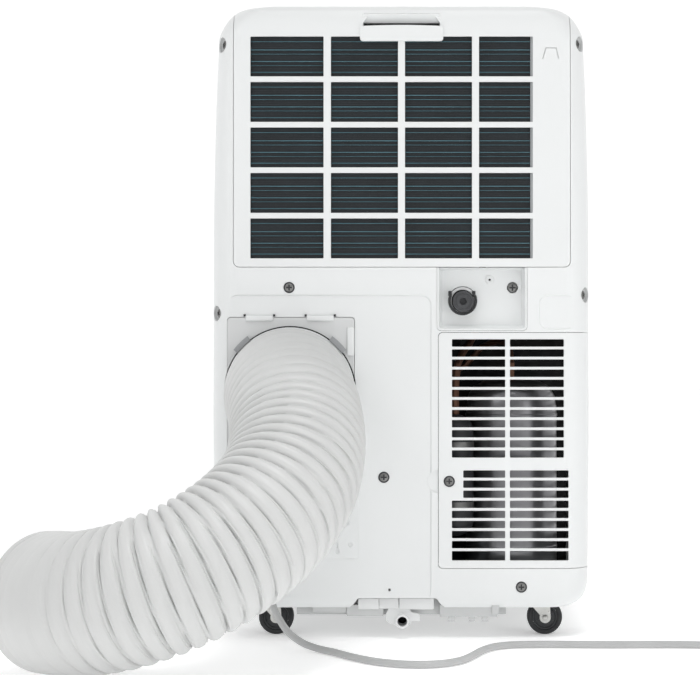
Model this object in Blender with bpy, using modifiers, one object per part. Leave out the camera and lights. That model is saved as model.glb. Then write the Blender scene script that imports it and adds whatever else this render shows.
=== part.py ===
"""Portable air conditioner on casters: moulded housing, rear filter cover, condenser grille,
exhaust hose, two blowers, refrigerant circuit, top air outlet and controls.
Metres, +Z up, the machine's rear towards -Y, origin on the floor under its middle."""
import math

import bmesh
import bpy
from mathutils import Matrix, Vector

# ---- Housing
REAR_Y = -0.185
FRONT_Y = 0.187
WALL = 0.003
PLAN_R = 0.032                   # corner radius seen from above
SHUT = 0.0005                    # shut line between housing parts
SPLIT_Y = 0.095                  # rear shell ends here, front panel starts
TOP_HALF_X = 0.170               # top cover
TOP_HALF_Y = 0.150
# half width, inset of front and rear, height: the skirt rolls under and the top edge is round
SECTIONS = ((0.2030, 0.0060, 0.0370), (0.2130, 0.0030, 0.0425), (0.2200, 0.0012, 0.0520),
            (0.2235, 0.0, 0.0680), (0.2250, 0.0, 0.2600), (0.2245, 0.0, 0.5000),
            (0.2180, 0.0, 0.7140), (0.2120, 0.0007, 0.7290), (0.2030, 0.0030, 0.7410),
            (0.1910, 0.0080, 0.7490), (0.1780, 0.0160, 0.7520))
FAR = 0.3                        # beyond the housing on every side
SHARP = math.radians(30)         # faces that meet more gently than this are shaded as one

# ---- Filter cover
COVER_X = (-0.1985, 0.2005)
COVER_Z0 = 0.4410
COVER_WRAP_Y = -0.158            # the cover wraps over the top edge as far as this
COVER_HINGE = (0.0, REAR_Y + 0.0015, COVER_Z0 + 0.0050)
CELL_X = ((-0.1785, -0.0918), (-0.0831, -0.0036), (0.0047, 0.0841), (0.0924, 0.1561))
CELL_Z0 = 0.4512
CELL_H = 0.0473
CELL_PITCH = 0.0539
CELL_ROWS = 5
PULL_X = (-0.0486, 0.0500)
PULL_Z = (0.7084, 0.7260)
PULL_Y = -0.1895
FINGER_Z1 = 0.7395
FILTER_X = (-0.1860, 0.1640)
FILTER_Y = (-0.1812, -0.1772)
FILTER_Z = (0.4460, 0.7190)
LOUVRES = 10

# ---- Condenser grille, which wraps round the right side
GRILLE_X0 = 0.0444
GRILLE_Y1 = -0.030
GRILLE_Z = (0.0840, 0.3631)
SLOT_X = ((0.0603, 0.1234), (0.1290, 0.1915))
SLOT_H = 0.0088
SLOT_PITCH = 0.01195
SLOT_BLOCKS = ((0.3553, 12), (0.2000, 9))        # top of the first slot, rows
SHORT_SLOT_X0 = 0.0737           # the lower block's first rows clear the screw
SHORT_ROWS = 3
SIDE_SLOT_Y = (-0.145, -0.045)
SIDE_SLOT_H = 0.009
SIDE_SLOT_PITCH = 0.0151
SIDE_ROWS = 16

# ---- Exhaust outlet and hose
DUCT = (-0.1315, 0.2925)         # outlet centre, x and z
DUCT_R = 0.0700
PANEL_X = (-0.2057, -0.0554)
PANEL_Z = (0.0950, 0.3810)
PANEL_Y = (-0.1845, -0.1815)
HOSE_R = 0.0755
HOSE_WALL = 0.004
HOSE_PATH = ((-0.1315, -0.1942, 0.2925), (-0.130, -0.230, 0.290), (-0.120, -0.290, 0.270),
             (-0.115, -0.350, 0.235), (-0.125, -0.410, 0.195), (-0.160, -0.460, 0.155),
             (-0.215, -0.490, 0.120), (-0.275, -0.492, 0.096), (-0.330, -0.468, 0.082),
             (-0.370, -0.424, 0.077))

# ---- Drains
POCKET_X = (0.0450, 0.1470)
POCKET_Z = (0.3680, 0.4380)
POCKET_FLOOR_Y = -0.1655
POCKET_WALL = 0.0024
DRAIN = (0.0735, 0.4010)         # upper drain, x and z
SPOUT = (-0.0036, 0.0213)        # lower drain, x and z
SPOUT_R = 0.0083
SPOUT_BORE_R = 0.0058

# ---- Mains cord, coil and plug
GLAND = (-0.152, 0.055)          # x and z
CORD_R = 0.0042
CORD_PATH = ((-0.152, -0.2078, 0.0550), (-0.151, -0.224, 0.0530), (-0.147, -0.238, 0.0440),
             (-0.139, -0.250, 0.0310), (-0.128, -0.260, 0.0185), (-0.113, -0.270, 0.0095),
             (-0.096, -0.283, 0.0052), (-0.077, -0.303, 0.0044), (-0.056, -0.335, 0.0044),
             (-0.030, -0.366, 0.0044), (-0.002, -0.384, 0.0044), (0.026, -0.388, 0.0044),
             (0.050, -0.378, 0.0044), (0.068, -0.357, 0.0044), (0.081, -0.325, 0.0044),
             (0.092, -0.293, 0.0044), (0.106, -0.268, 0.0044), (0.126, -0.254, 0.0044),
             (0.155, -0.250, 0.0044), (0.230, -0.252, 0.0044), (0.344, -0.254, 0.0044),
             (0.380, -0.268, 0.0044), (0.403, -0.286, 0.0044))
COIL_AT = (0.460, -0.250, 0.0107)
COIL_R = 0.050
COIL_BUNDLE_R = 0.0104
PLUG_X = 0.510
PLUG_Z = 0.014

# ---- Base pan and casters
PAN = (-0.198, 0.198, -0.172, 0.174, 0.0275, 0.0700)
PAN_FLOOR_Z = 0.0345
CASTER_ROOF_Z = 0.0520
WHEEL_R = 0.021
WHEEL_HALF_W = 0.009
TRAIL = 0.011
AXLE_R = 0.0030
CASTERS = {"rear_left": (-0.1612, -0.140), "rear_right": (0.1620, -0.140),
           "front_left": (-0.1612, 0.138), "front_right": (0.1620, 0.138)}

# ---- Screws of the rear face, x and z
SCREWS = {"screw_band": (-0.1326, 0.4166), "screw_pocket": (0.1330, 0.4168),
          "screw_grille": (0.0571, 0.1869), "screw_middle": (-0.0204, 0.1917),
          "screw_base": (0.1426, 0.0617)}

# ---- Blowers: centre, radius and width of the wheels
EVAP_C = (-0.010, -0.086, 0.575)
EVAP_R = 0.104
EVAP_W = 0.070
COND_C = (-0.140, -0.030, 0.215)
COND_R = 0.110
COND_W = 0.110
BLADES = 12
SHAFT_R = 0.006

# ---- Compressor circuit
COMPRESSOR_AT = (0.1350, -0.1000, 0.0)
ACCUMULATOR_AT = (0.0660, -0.1410, 0.0)
SUCTION_PATH = ((0.0660, -0.1410, 0.2650), (0.0660, -0.1410, 0.3000), (0.0700, -0.1320, 0.3300),
                (0.0900, -0.1000, 0.3600), (0.1000, -0.0900, 0.4000), (0.1000, -0.0900, 0.4450))
DISCHARGE_PATH = ((0.1350, -0.1000, 0.3090), (0.1350, -0.1000, 0.3300), (0.1300, -0.0850, 0.3500),
                  (0.1020, -0.0500, 0.3450), (0.0820, -0.0400, 0.3220), (0.0640, -0.0400, 0.3120),
                  (0.0424, -0.0400, 0.3120))

# ---- Top outlet and controls
FLAP_X = 0.134
FLAP_Y = (-0.034, 0.046)
FLAP_HINGE = (0.0, FLAP_Y[0] + 0.0003, 0.7510)
VANE_X = (-0.096, -0.032, 0.032, 0.096)
VANE_Y = 0.006
VANE_Z = 0.719
PANEL_TOP_Z = 0.7528
BUTTON_X = (-0.060, -0.036, 0.036, 0.060)
BUTTON_Y = 0.098

PAINTS = {                       # colour, roughness, metallic
    "white": ((0.83, 0.84, 0.84), 0.42, 0.0), "grey": ((0.52, 0.53, 0.54), 0.5, 0.0),
    "dark": ((0.03, 0.035, 0.04), 0.5, 0.0), "rubber": ((0.05, 0.05, 0.055), 0.8, 0.0),
    "zinc": ((0.62, 0.62, 0.60), 0.35, 1.0), "fins": ((0.72, 0.74, 0.75), 0.35, 1.0),
    "copper": ((0.85, 0.42, 0.24), 0.3, 1.0), "black": ((0.01, 0.01, 0.012), 0.15, 0.0),
    "hose": ((0.72, 0.73, 0.73), 0.5, 0.0), "cord": ((0.55, 0.56, 0.56), 0.55, 0.0),
    "foam": ((0.86, 0.87, 0.86), 0.9, 0.0), "board": ((0.05, 0.22, 0.09), 0.5, 0.0)}

FACING = {"x": (1, 0, 0), "y": (0, 1, 0), "-y": (0, -1, 0), "z": (0, 0, 1)}

for old in list(bpy.data.objects):
    bpy.data.objects.remove(old, do_unlink=True)
PARTS = bpy.data.collections.new("portable_air_conditioner")
CUTTERS = bpy.data.collections.new("cutters")
CUTTERS.hide_render = True
for made in (PARTS, CUTTERS):
    bpy.context.scene.collection.children.link(made)


# ---- Helpers
def place(name, data, at=(0, 0, 0), aim=(0, 0, 1)):
    """A new object whose local +Z points along aim."""
    obj = bpy.data.objects.new(name, data)
    obj.location = at
    obj.rotation_euler = Vector((0, 0, 1)).rotation_difference(Vector(aim)).to_euler()
    return obj


def keep(obj, paint):
    """Makes the object a piece of the machine, with its own material."""
    rgb, roughness, metallic = PAINTS[paint]
    mat = bpy.data.materials.new(obj.name + "_" + paint)
    mat.use_nodes = True
    shader = mat.node_tree.nodes["Principled BSDF"]
    shader.inputs["Base Color"].default_value = (*rgb, 1.0)
    shader.inputs["Roughness"].default_value = roughness
    shader.inputs["Metallic"].default_value = metallic
    obj.data.materials.append(mat)
    if obj.type == "MESH":
        obj.data.shade_smooth()
        obj.data.set_sharp_from_angle(angle=SHARP)
    PARTS.objects.link(obj)
    return obj


def helper(obj):
    """Makes the object a tool for Booleans only."""
    obj.hide_render = True
    obj.display_type = "WIRE"
    CUTTERS.objects.link(obj)
    return obj


def boxes(name, *spans, at=(0, 0, 0)):
    """Boxes given as x0, x1, y0, y1, z0, z1, about the origin at."""
    bm = bmesh.new()
    for x0, x1, y0, y1, z0, z1 in spans:
        middle = Matrix.Translation(((x0 + x1) / 2, (y0 + y1) / 2, (z0 + z1) / 2))
        size = Matrix.Diagonal((x1 - x0, y1 - y0, z1 - z0, 1))
        bmesh.ops.create_cube(bm, size=1.0, matrix=middle @ size)
    mesh = bpy.data.meshes.new(name)
    bm.to_mesh(mesh)
    bm.free()
    return place(name, mesh, at)


def rod(name, at, radius, length, facing="z", sides=24):
    bm = bmesh.new()
    bmesh.ops.create_cone(bm, cap_ends=True, segments=sides, radius1=radius, radius2=radius, depth=length)
    mesh = bpy.data.meshes.new(name)
    bm.to_mesh(mesh)
    bm.free()
    return place(name, mesh, at, FACING[facing])


def turned(name, profile, at=(0, 0, 0), facing="z", steps=24):
    """Closed outline of radius, height points, turned about its own axis by a Screw."""
    area = sum(a[0] * b[1] - b[0] * a[1] for a, b in zip(profile, profile[1:] + profile[:1]))
    points = list(profile if area < 0 else reversed(profile))     # outer side runs downwards
    edges = [(i, (i + 1) % len(points)) for i in range(len(points))
             if points[i][0] or points[(i + 1) % len(points)][0]]   # no edge along the axis
    mesh = bpy.data.meshes.new(name)
    mesh.from_pydata([(r, 0, h) for r, h in points], edges, [])
    obj = place(name, mesh, at, FACING[facing] if isinstance(facing, str) else facing)
    screw = obj.modifiers.new("turn", "SCREW")
    screw.steps = screw.render_steps = steps
    screw.use_merge_vertices = True
    screw.merge_threshold = 0.00001
    return obj


def boolean(obj, tool, operation="DIFFERENCE"):
    mod = obj.modifiers.new(tool.name, "BOOLEAN")
    mod.operation = operation
    mod.object = tool
    return obj


def cut(obj, tool):
    return boolean(obj, helper(tool))


def join(obj, tool):
    return boolean(obj, helper(tool), "UNION")


def round_edges(obj, width, segments):
    mod = obj.modifiers.new("edges", "BEVEL")
    mod.width = width
    mod.segments = segments
    mod.limit_method = "ANGLE"
    return obj


def smooth_path(points, step):
    """Even stations along a centripetal Catmull-Rom curve through the points."""
    p = [Vector(a) for a in points]
    p = [p[0] * 2 - p[1]] + p + [p[-1] * 2 - p[-2]]
    fine = []
    for i in range(1, len(p) - 2):
        t = [0.0]
        for k in range(3):
            t.append(t[-1] + (p[i + k] - p[i + k - 1]).length ** 0.5)
        for k in range(12):
            u = t[1] + (t[2] - t[1]) * k / 12
            a1 = p[i - 1].lerp(p[i], (u - t[0]) / (t[1] - t[0]))
            a2 = p[i].lerp(p[i + 1], (u - t[1]) / (t[2] - t[1]))
            a3 = p[i + 1].lerp(p[i + 2], (u - t[2]) / (t[3] - t[2]))
            b1 = a1.lerp(a2, (u - t[0]) / (t[2] - t[0]))
            b2 = a2.lerp(a3, (u - t[1]) / (t[3] - t[1]))
            fine.append(b1.lerp(b2, (u - t[1]) / (t[2] - t[1])))
    fine.append(p[-2])
    stations = [fine[0]]
    left = step
    for a, b in zip(fine, fine[1:]):
        span = (b - a).length
        done = 0.0
        while span - done >= left:
            done += left
            stations.append(a.lerp(b, done / span))
            left = step
        left -= span - done
    if (fine[-1] - stations[-1]).length < step / 2:
        stations.pop()
    return stations + [fine[-1]]


def tube(name, points, radius, detail, capped=True):
    data = bpy.data.curves.new(name, "CURVE")
    data.dimensions = "3D"
    data.bevel_depth = radius
    data.bevel_resolution = detail
    data.use_fill_caps = capped
    line = data.splines.new("POLY")
    line.points.add(len(points) - 1)
    for slot, p in zip(line.points, points):
        slot.co = (*p, 1.0)
    return place(name, data)


# ---- Housing
def section(half_x, inset_y, z, thickness):
    """Points of one rounded rectangle, corner by corner."""
    r = PLAN_R - thickness
    x = half_x - thickness - r
    y0 = REAR_Y + inset_y + thickness + r
    y1 = FRONT_Y - inset_y - thickness - r
    for cx, cy, start in ((x, y1, 0), (-x, y1, 90), (-x, y0, 180), (x, y0, 270)):
        for k in range(6):
            a = math.radians(start + 18 * k)
            yield cx + r * math.cos(a), cy + r * math.sin(a), z


def housing(name, thickness=0.0):
    """Loft through SECTIONS, moved inwards by thickness; the inner one runs out of the bottom."""
    bm = bmesh.new()
    rings = []
    for i, (half_x, inset_y, z) in enumerate(SECTIONS):
        if thickness and i == 0:
            z = 0.010
        if thickness and i >= len(SECTIONS) - 3:
            z -= thickness
        rings.append([bm.verts.new(p) for p in section(half_x, inset_y, z, thickness)])
    for low, high in zip(rings, rings[1:]):
        for k in range(len(low)):
            j = (k + 1) % len(low)
            bm.faces.new((low[k], low[j], high[j], high[k]))
    bm.faces.new(list(reversed(rings[0])))
    bm.faces.new(rings[-1])
    mesh = bpy.data.meshes.new(name)
    bm.to_mesh(mesh)
    bm.free()
    return place(name, mesh)


INSIDE = helper(housing("housing_inside", WALL))


def shell_piece(name, *region):
    """The part of the housing's wall that lies in one box."""
    obj = keep(housing(name), "white")
    boolean(obj, helper(boxes(name + "_region", region)), "INTERSECT")
    return boolean(obj, INSIDE)


def screw_hole(obj, name, x, z, y=REAR_Y):
    cut(obj, rod(name, (x, y, z), 0.0026, 0.020, "y", 12))


def make_shells():
    rear = shell_piece("rear_shell", -FAR, FAR, -FAR, SPLIT_Y, 0, 0.8)
    cut(rear, boxes("cover_opening", (COVER_X[0] - SHUT, COVER_X[1] + SHUT, -FAR, COVER_WRAP_Y + SHUT,
                                      COVER_Z0 - SHUT, 0.8)))
    cut(rear, boxes("top_opening", (-TOP_HALF_X, TOP_HALF_X, -TOP_HALF_Y, TOP_HALF_Y, 0.735, 0.8)))
    cut(rear, boxes("grille_opening", (GRILLE_X0 - SHUT, FAR, -FAR, GRILLE_Y1 + SHUT,
                                       GRILLE_Z[0] - SHUT, GRILLE_Z[1] + SHUT)))
    cut(rear, boxes("duct_opening", (PANEL_X[0] - SHUT, PANEL_X[1] + SHUT, -FAR, -0.17,
                                     PANEL_Z[0] - SHUT, PANEL_Z[1] + SHUT)))
    w = POCKET_WALL + SHUT
    cut(rear, boxes("drain_window", (POCKET_X[0] - w, POCKET_X[1] + w, -FAR, -0.17,
                                     POCKET_Z[0] - w, COVER_Z0)))
    cut(rear, boxes("skirt_notch", (-0.056, 0.046, -FAR, -0.17, 0, 0.048)))
    cut(rear, rod("gland_hole", (GLAND[0], REAR_Y, GLAND[1]), 0.0078, 0.02, "y", 16))
    for name in ("screw_band", "screw_middle", "screw_base"):
        screw_hole(rear, name + "_hole", *SCREWS[name])
    front = shell_piece("front_panel", -FAR, FAR, SPLIT_Y + SHUT, FAR, 0, 0.8)
    boolean(front, bpy.data.objects["top_opening"])
    x, y = TOP_HALF_X - SHUT, TOP_HALF_Y - SHUT
    top = shell_piece("top_cover", -x, x, -y, y, 0.735, 0.8)
    cut(top, boxes("outlet_window", (-FLAP_X - 0.0012, FLAP_X + 0.0012, FLAP_Y[0] - 0.0012,
                                     FLAP_Y[1] + 0.0012, 0.73, 0.8)))
    cut(top, boxes("control_window", (-0.0785, 0.0785, 0.0705, 0.1305, 0.73, 0.8)))


def make_screws():
    head = [(0, -0.0080), (0.0022, -0.0080), (0.0022, 0), (0.0056, 0), (0.0056, 0.0010),
            (0.0040, 0.0022), (0, 0.0024)]
    for name, (x, z) in SCREWS.items():
        y = POCKET_FLOOR_Y if name == "screw_pocket" else REAR_Y
        obj = keep(turned(name, head, (x, y - 0.0003, z), "-y", 12), "zinc")
        cut(obj, boxes(name + "_slot", (x - 0.0004, x + 0.0004, y - 0.01, y - 0.0013,
                                        z - 0.0026, z + 0.0026)))


# ---- Filter cover
def hinge_at(obj, centre):
    """Moves the object's origin to its hinge and leaves its shape where it is."""
    obj.data.transform(Matrix.Translation(-Vector(centre)))
    obj.location = centre
    return obj


def make_filter_cover():
    cover = hinge_at(shell_piece("filter_cover", *COVER_X, -FAR, COVER_WRAP_Y, COVER_Z0, 0.8),
                     COVER_HINGE)
    rows = [CELL_Z0 + CELL_PITCH * k for k in range(CELL_ROWS)]
    cut(cover, boxes("cover_cells", *[(*x, -FAR, -0.175, z, z + CELL_H) for x in CELL_X for z in rows]))
    join(cover, boxes("cover_pull", (*PULL_X, PULL_Y, -0.1830, *PULL_Z)))
    cut(cover, boxes("finger_slot", (-0.0450, 0.0460, -FAR, -0.178, PULL_Z[1] + 0.0003, FINGER_Z1)))
    mesh = keep(hinge_at(boxes("air_filter", (*FILTER_X, *FILTER_Y, *FILTER_Z)), COVER_HINGE), "dark")
    pitch = (FILTER_Z[1] - FILTER_Z[0] - 0.011) / LOUVRES
    gaps = [FILTER_Z[0] + 0.0075 + pitch * k for k in range(LOUVRES)]
    cut(mesh, boxes("filter_gaps", *[(*x, -0.19, -0.17, z, z + 0.019) for x in CELL_X for z in gaps]))
    bezel = keep(boxes("intake_bezel", (-0.1950, 0.1950, -0.1765, -0.1735, 0.4430, 0.7190)), "white")
    cut(bezel, boxes("bezel_window", (-0.1845, 0.1620, -0.19, -0.16, 0.4530, 0.7120)))


# ---- Condenser grille
def make_grille():
    grille = shell_piece("condenser_grille", GRILLE_X0, FAR, -FAR, GRILLE_Y1, *GRILLE_Z)
    slots = []
    for first, rows in SLOT_BLOCKS:
        for row in range(rows):
            z = first - row * SLOT_PITCH
            for x0, x1 in SLOT_X:
                short = first == SLOT_BLOCKS[1][0] and row < SHORT_ROWS and x0 == SLOT_X[0][0]
                slots.append((SHORT_SLOT_X0 if short else x0, x1, -FAR, -0.17, z - SLOT_H, z))
    for row in range(SIDE_ROWS):
        z = SLOT_BLOCKS[0][0] - 0.004 - row * SIDE_SLOT_PITCH
        slots.append((0.21, FAR, *SIDE_SLOT_Y, z - SIDE_SLOT_H, z))
    cut(grille, boxes("grille_slots", *slots))
    screw_hole(grille, "screw_grille_hole", *SCREWS["screw_grille"])


# ---- Exhaust
def make_exhaust():
    panel = keep(boxes("duct_panel", (*PANEL_X, *PANEL_Y, *PANEL_Z)), "white")
    cut(panel, rod("duct_hole", (DUCT[0], -0.183, DUCT[1]), DUCT_R, 0.02, "y", 32))
    collar = [(0.0640, 0), (0.0690, 0), (0.0690, 0.0098), (0.0770, 0.0098), (0.0770, 0.0130),
              (0.0665, 0.0130), (0.0665, 0.0185), (0.0640, 0.0185)]
    keep(turned("hose_adapter", collar, (DUCT[0], -0.1755, DUCT[1]), "-y", 28), "white")
    line = smooth_path(HOSE_PATH, 0.034)
    skin = tube("hose_skin", line, HOSE_R, 7, capped=False)
    PARTS.objects.link(skin)
    bpy.context.view_layer.update()
    shape = bpy.data.meshes.new_from_object(skin.evaluated_get(bpy.context.evaluated_depsgraph_get()))
    bpy.data.objects.remove(skin)
    hose = keep(place("exhaust_hose", shape), "hose")
    wall = hose.modifiers.new("wall", "SOLIDIFY")
    wall.thickness = HOSE_WALL
    wall.offset = -1
    sleeve = [(0.0675, -0.030), (0.0700, -0.030), (0.0700, 0.0015), (0.0758, 0.0015),
              (0.0758, 0.0120), (0.0675, 0.0120)]
    keep(turned("hose_cuff", sleeve, line[-1], line[-1] - line[-2], 24), "hose")


# ---- Drains
def make_drains():
    w = POCKET_WALL
    pocket = keep(boxes("drain_pocket", (POCKET_X[0] - w, POCKET_X[1] + w, REAR_Y, POCKET_FLOOR_Y + w,
                                         POCKET_Z[0] - w, POCKET_Z[1] + w)), "white")
    cut(pocket, boxes("drain_recess", (*POCKET_X, -FAR, POCKET_FLOOR_Y, *POCKET_Z)))
    cut(pocket, rod("drain_hole", (DRAIN[0], POCKET_FLOOR_Y, DRAIN[1]), 0.0173, 0.02, "y"))
    screw_hole(pocket, "screw_pocket_hole", *SCREWS["screw_pocket"], POCKET_FLOOR_Y)
    stub = [(0.0135, 0), (0.0165, 0), (0.0165, 0.030), (0.0135, 0.030)]
    keep(turned("drain_stub", stub, (DRAIN[0], -0.1695, DRAIN[1]), "y", 20), "white")
    plug = [(0, 0), (0.0080, 0), (0.0128, 0.0020), (0.0128, 0.0180), (0.0095, 0.0190),
            (0.0095, 0.0220), (0.0050, 0.0220), (0.0050, 0.0170), (0, 0.0170)]
    keep(turned("drain_plug", plug, (DRAIN[0], -0.1525, DRAIN[1]), "-y", 16), "rubber")
    x, z = SPOUT
    spout = keep(rod("lower_drain_spout", (x, -0.165, z), SPOUT_R, 0.048, "y"), "white")
    join(spout, rod("spout_collar", (x, -0.1775, z), 0.0140, 0.005, "y"))
    join(spout, boxes("spout_bracket", (x - 0.0154, x + 0.0256, -0.1770, -0.1745, 0.0165, 0.0400)))
    cut(spout, rod("spout_bore", (x, -0.170, z), SPOUT_BORE_R, 0.060, "y", 16))


# ---- Base pan and casters
def make_base():
    pan = keep(boxes("base_pan", PAN), "grey")
    cut(pan, boxes("pan_well", (PAN[0] + 0.003, PAN[1] - 0.003, PAN[2] + 0.003, PAN[3] - 0.003,
                                PAN_FLOOR_Z, 0.09)))
    bosses = []
    pockets = []
    for cx, cy in CASTERS.values():
        x0, x1 = (cx - 0.037, PAN[1] - 0.0005) if cx > 0 else (PAN[0] + 0.0005, cx + 0.037)
        y0, y1 = (cy - 0.037, PAN[3] - 0.0005) if cy > 0 else (PAN[2] + 0.0005, cy + 0.037)
        bosses.append((x0 - 0.002 * (cx > 0), x1 + 0.002 * (cx < 0),
                       y0 - 0.002 * (cy > 0), y1 + 0.002 * (cy < 0), PAN[4] + 0.0005, 0.0550))
        pockets.append((x0 if cx > 0 else -FAR, x1 if cx < 0 else FAR,
                        y0 if cy > 0 else -FAR, y1 if cy < 0 else FAR, 0.01, CASTER_ROOF_Z))
    join(pan, boxes("caster_bosses", *bosses))
    cut(pan, boxes("caster_pockets", *pockets))
    cut(pan, boxes("spout_channel", (SPOUT[0] - 0.0095, SPOUT[0] + 0.0095, -FAR, -0.140, 0.01, 0.0312)))


def make_caster(tag, cx, cy):
    fork = keep(boxes("caster_fork_" + tag, (-0.009, TRAIL + 0.0055, -0.0135, 0.0135, 0.0145, 0.0480),
                      at=(cx, cy, 0)), "zinc")
    cut(fork, boxes(tag + "_wheel_gap", (-0.03, 0.05, -0.0105, 0.0105, 0, 0.0455), at=(cx, cy, 0)))
    cut(fork, boxes(tag + "_rake", (-0.03, 0.003, -0.05, 0.05, 0, 0.034), at=(cx, cy, 0)))
    join(fork, rod(tag + "_swivel", (cx, cy, 0.0495), 0.0100, 0.0038, "z", 12))
    join(fork, rod(tag + "_axle", (cx + TRAIL, cy, WHEEL_R), AXLE_R, 0.0320, "y", 12))
    w = WHEEL_HALF_W
    rim = [(AXLE_R + 0.0004, -w), (WHEEL_R - 0.0025, -w), (WHEEL_R, 0.0025 - w),
           (WHEEL_R, w - 0.0025), (WHEEL_R - 0.0025, w), (AXLE_R + 0.0004, w)]
    keep(turned("caster_wheel_" + tag, rim, (cx + TRAIL, cy, WHEEL_R), "y", 24), "rubber")


# ---- Mains cord
def make_cord():
    gland = [(0.0048, -0.0080), (0.0072, -0.0080), (0.0072, 0.0005), (0.0090, 0.0005),
             (0.0090, 0.0035), (0.0075, 0.0045), (0.0055, 0.0215), (0.0048, 0.0215)]
    keep(turned("strain_relief", gland, (GLAND[0], -0.1860, GLAND[1]), "-y", 16), "cord")
    keep(tube("power_cord", smooth_path(CORD_PATH, 0.022), CORD_R, 2), "cord")
    bundle = [(COIL_R + COIL_BUNDLE_R * math.cos(math.pi * k / 4),
               COIL_BUNDLE_R * math.sin(math.pi * k / 4)) for k in range(8)]
    keep(turned("cord_coil", bundle, COIL_AT, "z", 24), "cord")
    plug = keep(boxes("power_plug", (-0.0135, 0.0135, -0.1960, -0.1480, -0.013, 0.013),
                      at=(PLUG_X, 0, PLUG_Z)), "cord")
    round_edges(plug, 0.004, 1)
    join(plug, rod("plug_neck", (PLUG_X, -0.1995, PLUG_Z), 0.0055, 0.0180, "y", 12))
    for side in (-1, 1):
        x = side * 0.0063
        blade = (x - 0.0008, x + 0.0008, -0.150, -0.1310, -0.0033, 0.0033)
        join(plug, boxes("plug_blade_%d" % (side + 1), blade, at=(PLUG_X, 0, PLUG_Z)))


# ---- Blowers and coils
def make_blower(name, at, facing, radius, width):
    """Back plate, blades, front ring and stub shaft, turning about local +Z."""
    wheel = keep(rod(name, at, radius, 0.003, facing, 24), "dark")
    axis = Vector(FACING[facing])
    wheel.data.transform(Matrix.Translation((0, 0, width / 2 - 0.0015)))
    bm = bmesh.new()
    for k in range(BLADES):
        seat = Matrix.Rotation(math.tau * k / BLADES, 4, "Z")
        seat = seat @ Matrix.Translation((radius - 0.013, 0, -0.001))
        blade = Matrix.Rotation(math.radians(35), 4, "Z")
        blade = blade @ Matrix.Diagonal((0.018, 0.0015, width - 0.003, 1))
        bmesh.ops.create_cube(bm, size=1.0, matrix=seat @ blade)
    mesh = bpy.data.meshes.new(name + "_blades")
    bm.to_mesh(mesh)
    bm.free()
    join(wheel, place(name + "_blades", mesh, at, axis))
    ring = [(radius - 0.016, -0.0015), (radius, -0.0015), (radius, 0.0015), (radius - 0.016, 0.0015)]
    join(wheel, turned(name + "_ring", ring, Vector(at) - axis * (width / 2 - 0.0018), facing, 24))
    join(wheel, rod(name + "_shaft", Vector(at) + axis * (width / 2 + 0.004), SHAFT_R, 0.040, facing, 12))


def make_evaporator():
    x, _, z = EVAP_C
    core = keep(boxes("evaporator_coil", (-0.1850, 0.1610, -0.1690, -0.1420, 0.4500, 0.7150)), "fins")
    starts = [-0.1790 + 0.0248 * k for k in range(14)]
    cut(core, boxes("evaporator_gaps", *[(s, s + 0.0025, -0.18, -0.150, 0.44, 0.73) for s in starts]))
    scroll = keep(rod("evaporator_scroll", (x, -0.085, z), 0.118, 0.090, "y", 28), "foam")
    join(scroll, boxes("evaporator_throat", (x, x + 0.118, -0.130, -0.040, z, 0.7000)))
    cut(scroll, rod("evaporator_chamber", (x, -0.085, z), 0.1155, 0.085, "y", 28))
    cut(scroll, boxes("evaporator_throat_way", (x + 0.0025, x + 0.1155, -0.1275, -0.0425, z, 0.72)))
    cut(scroll, rod("evaporator_inlet", (x, -0.130, z), 0.080, 0.012, "y", 24))
    cut(scroll, rod("evaporator_shaft_way", (x, -0.040, z), 0.008, 0.012, "y", 12))
    make_blower("evaporator_fan", EVAP_C, "y", EVAP_R, EVAP_W)
    motor = keep(rod("evaporator_motor", (x, -0.012, z), 0.043, 0.054, "y"), "zinc")
    cut(motor, rod("evaporator_motor_bore", (x, -0.034, z), SHAFT_R + 0.0006, 0.030, "y", 12))
    tray = keep(boxes("drip_tray", (-0.2120, 0.2120, -0.1600, 0.0900, 0.4230, 0.4380)), "white")
    cut(tray, boxes("tray_well", (-0.2095, 0.2095, -0.1575, 0.0875, 0.4255, 0.45)))
    cut(tray, boxes("tray_pipe_way", (0.088, 0.112, -0.110, -0.070, 0.41, 0.45)))


def make_condenser():
    _, y, z = COND_C
    x = DUCT[0]
    core = keep(boxes("condenser_coil", (0.0150, 0.0420, -0.1650, 0.1000, 0.0700, 0.3900)), "fins")
    starts = [-0.1590 + 0.0220 * k for k in range(12)]
    cut(core, boxes("condenser_gaps", *[(0.024, 0.06, s, s + 0.0025, 0.06, 0.40) for s in starts]))
    scroll = keep(rod("condenser_scroll", (x, y, z), 0.126, 0.1440, "x", 28), "foam")
    join(scroll, boxes("condenser_throat", (x - 0.0720, x + 0.0720, -0.1740, y,
                                            DUCT[1] - 0.0715, DUCT[1] + 0.0730)))
    cut(scroll, rod("condenser_chamber", (x, y, z), 0.1235, 0.1390, "x", 28))
    cut(scroll, boxes("condenser_throat_way", (x - 0.0695, x + 0.0695, -0.19, y,
                                               DUCT[1] - 0.0690, DUCT[1] + 0.0705)))
    cut(scroll, rod("condenser_inlet", (x + 0.0715, y, z), 0.088, 0.012, "x", 24))
    make_blower("condenser_fan", COND_C, "x", COND_R, COND_W)
    motor = keep(rod("condenser_motor", (-0.034, y, z), 0.036, 0.044, "x"), "zinc")
    join(motor, boxes("condenser_motor_arms", (-0.0570, -0.0540, y - 0.098, y + 0.098,
                                               z - 0.008, z + 0.008)))
    join(motor, rod("condenser_motor_nose", (-0.0545, y, z), 0.020, 0.012, "x", 16))
    cut(motor, rod("condenser_motor_bore", (-0.055, y, z), SHAFT_R + 0.0006, 0.034, "x", 12))


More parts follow.
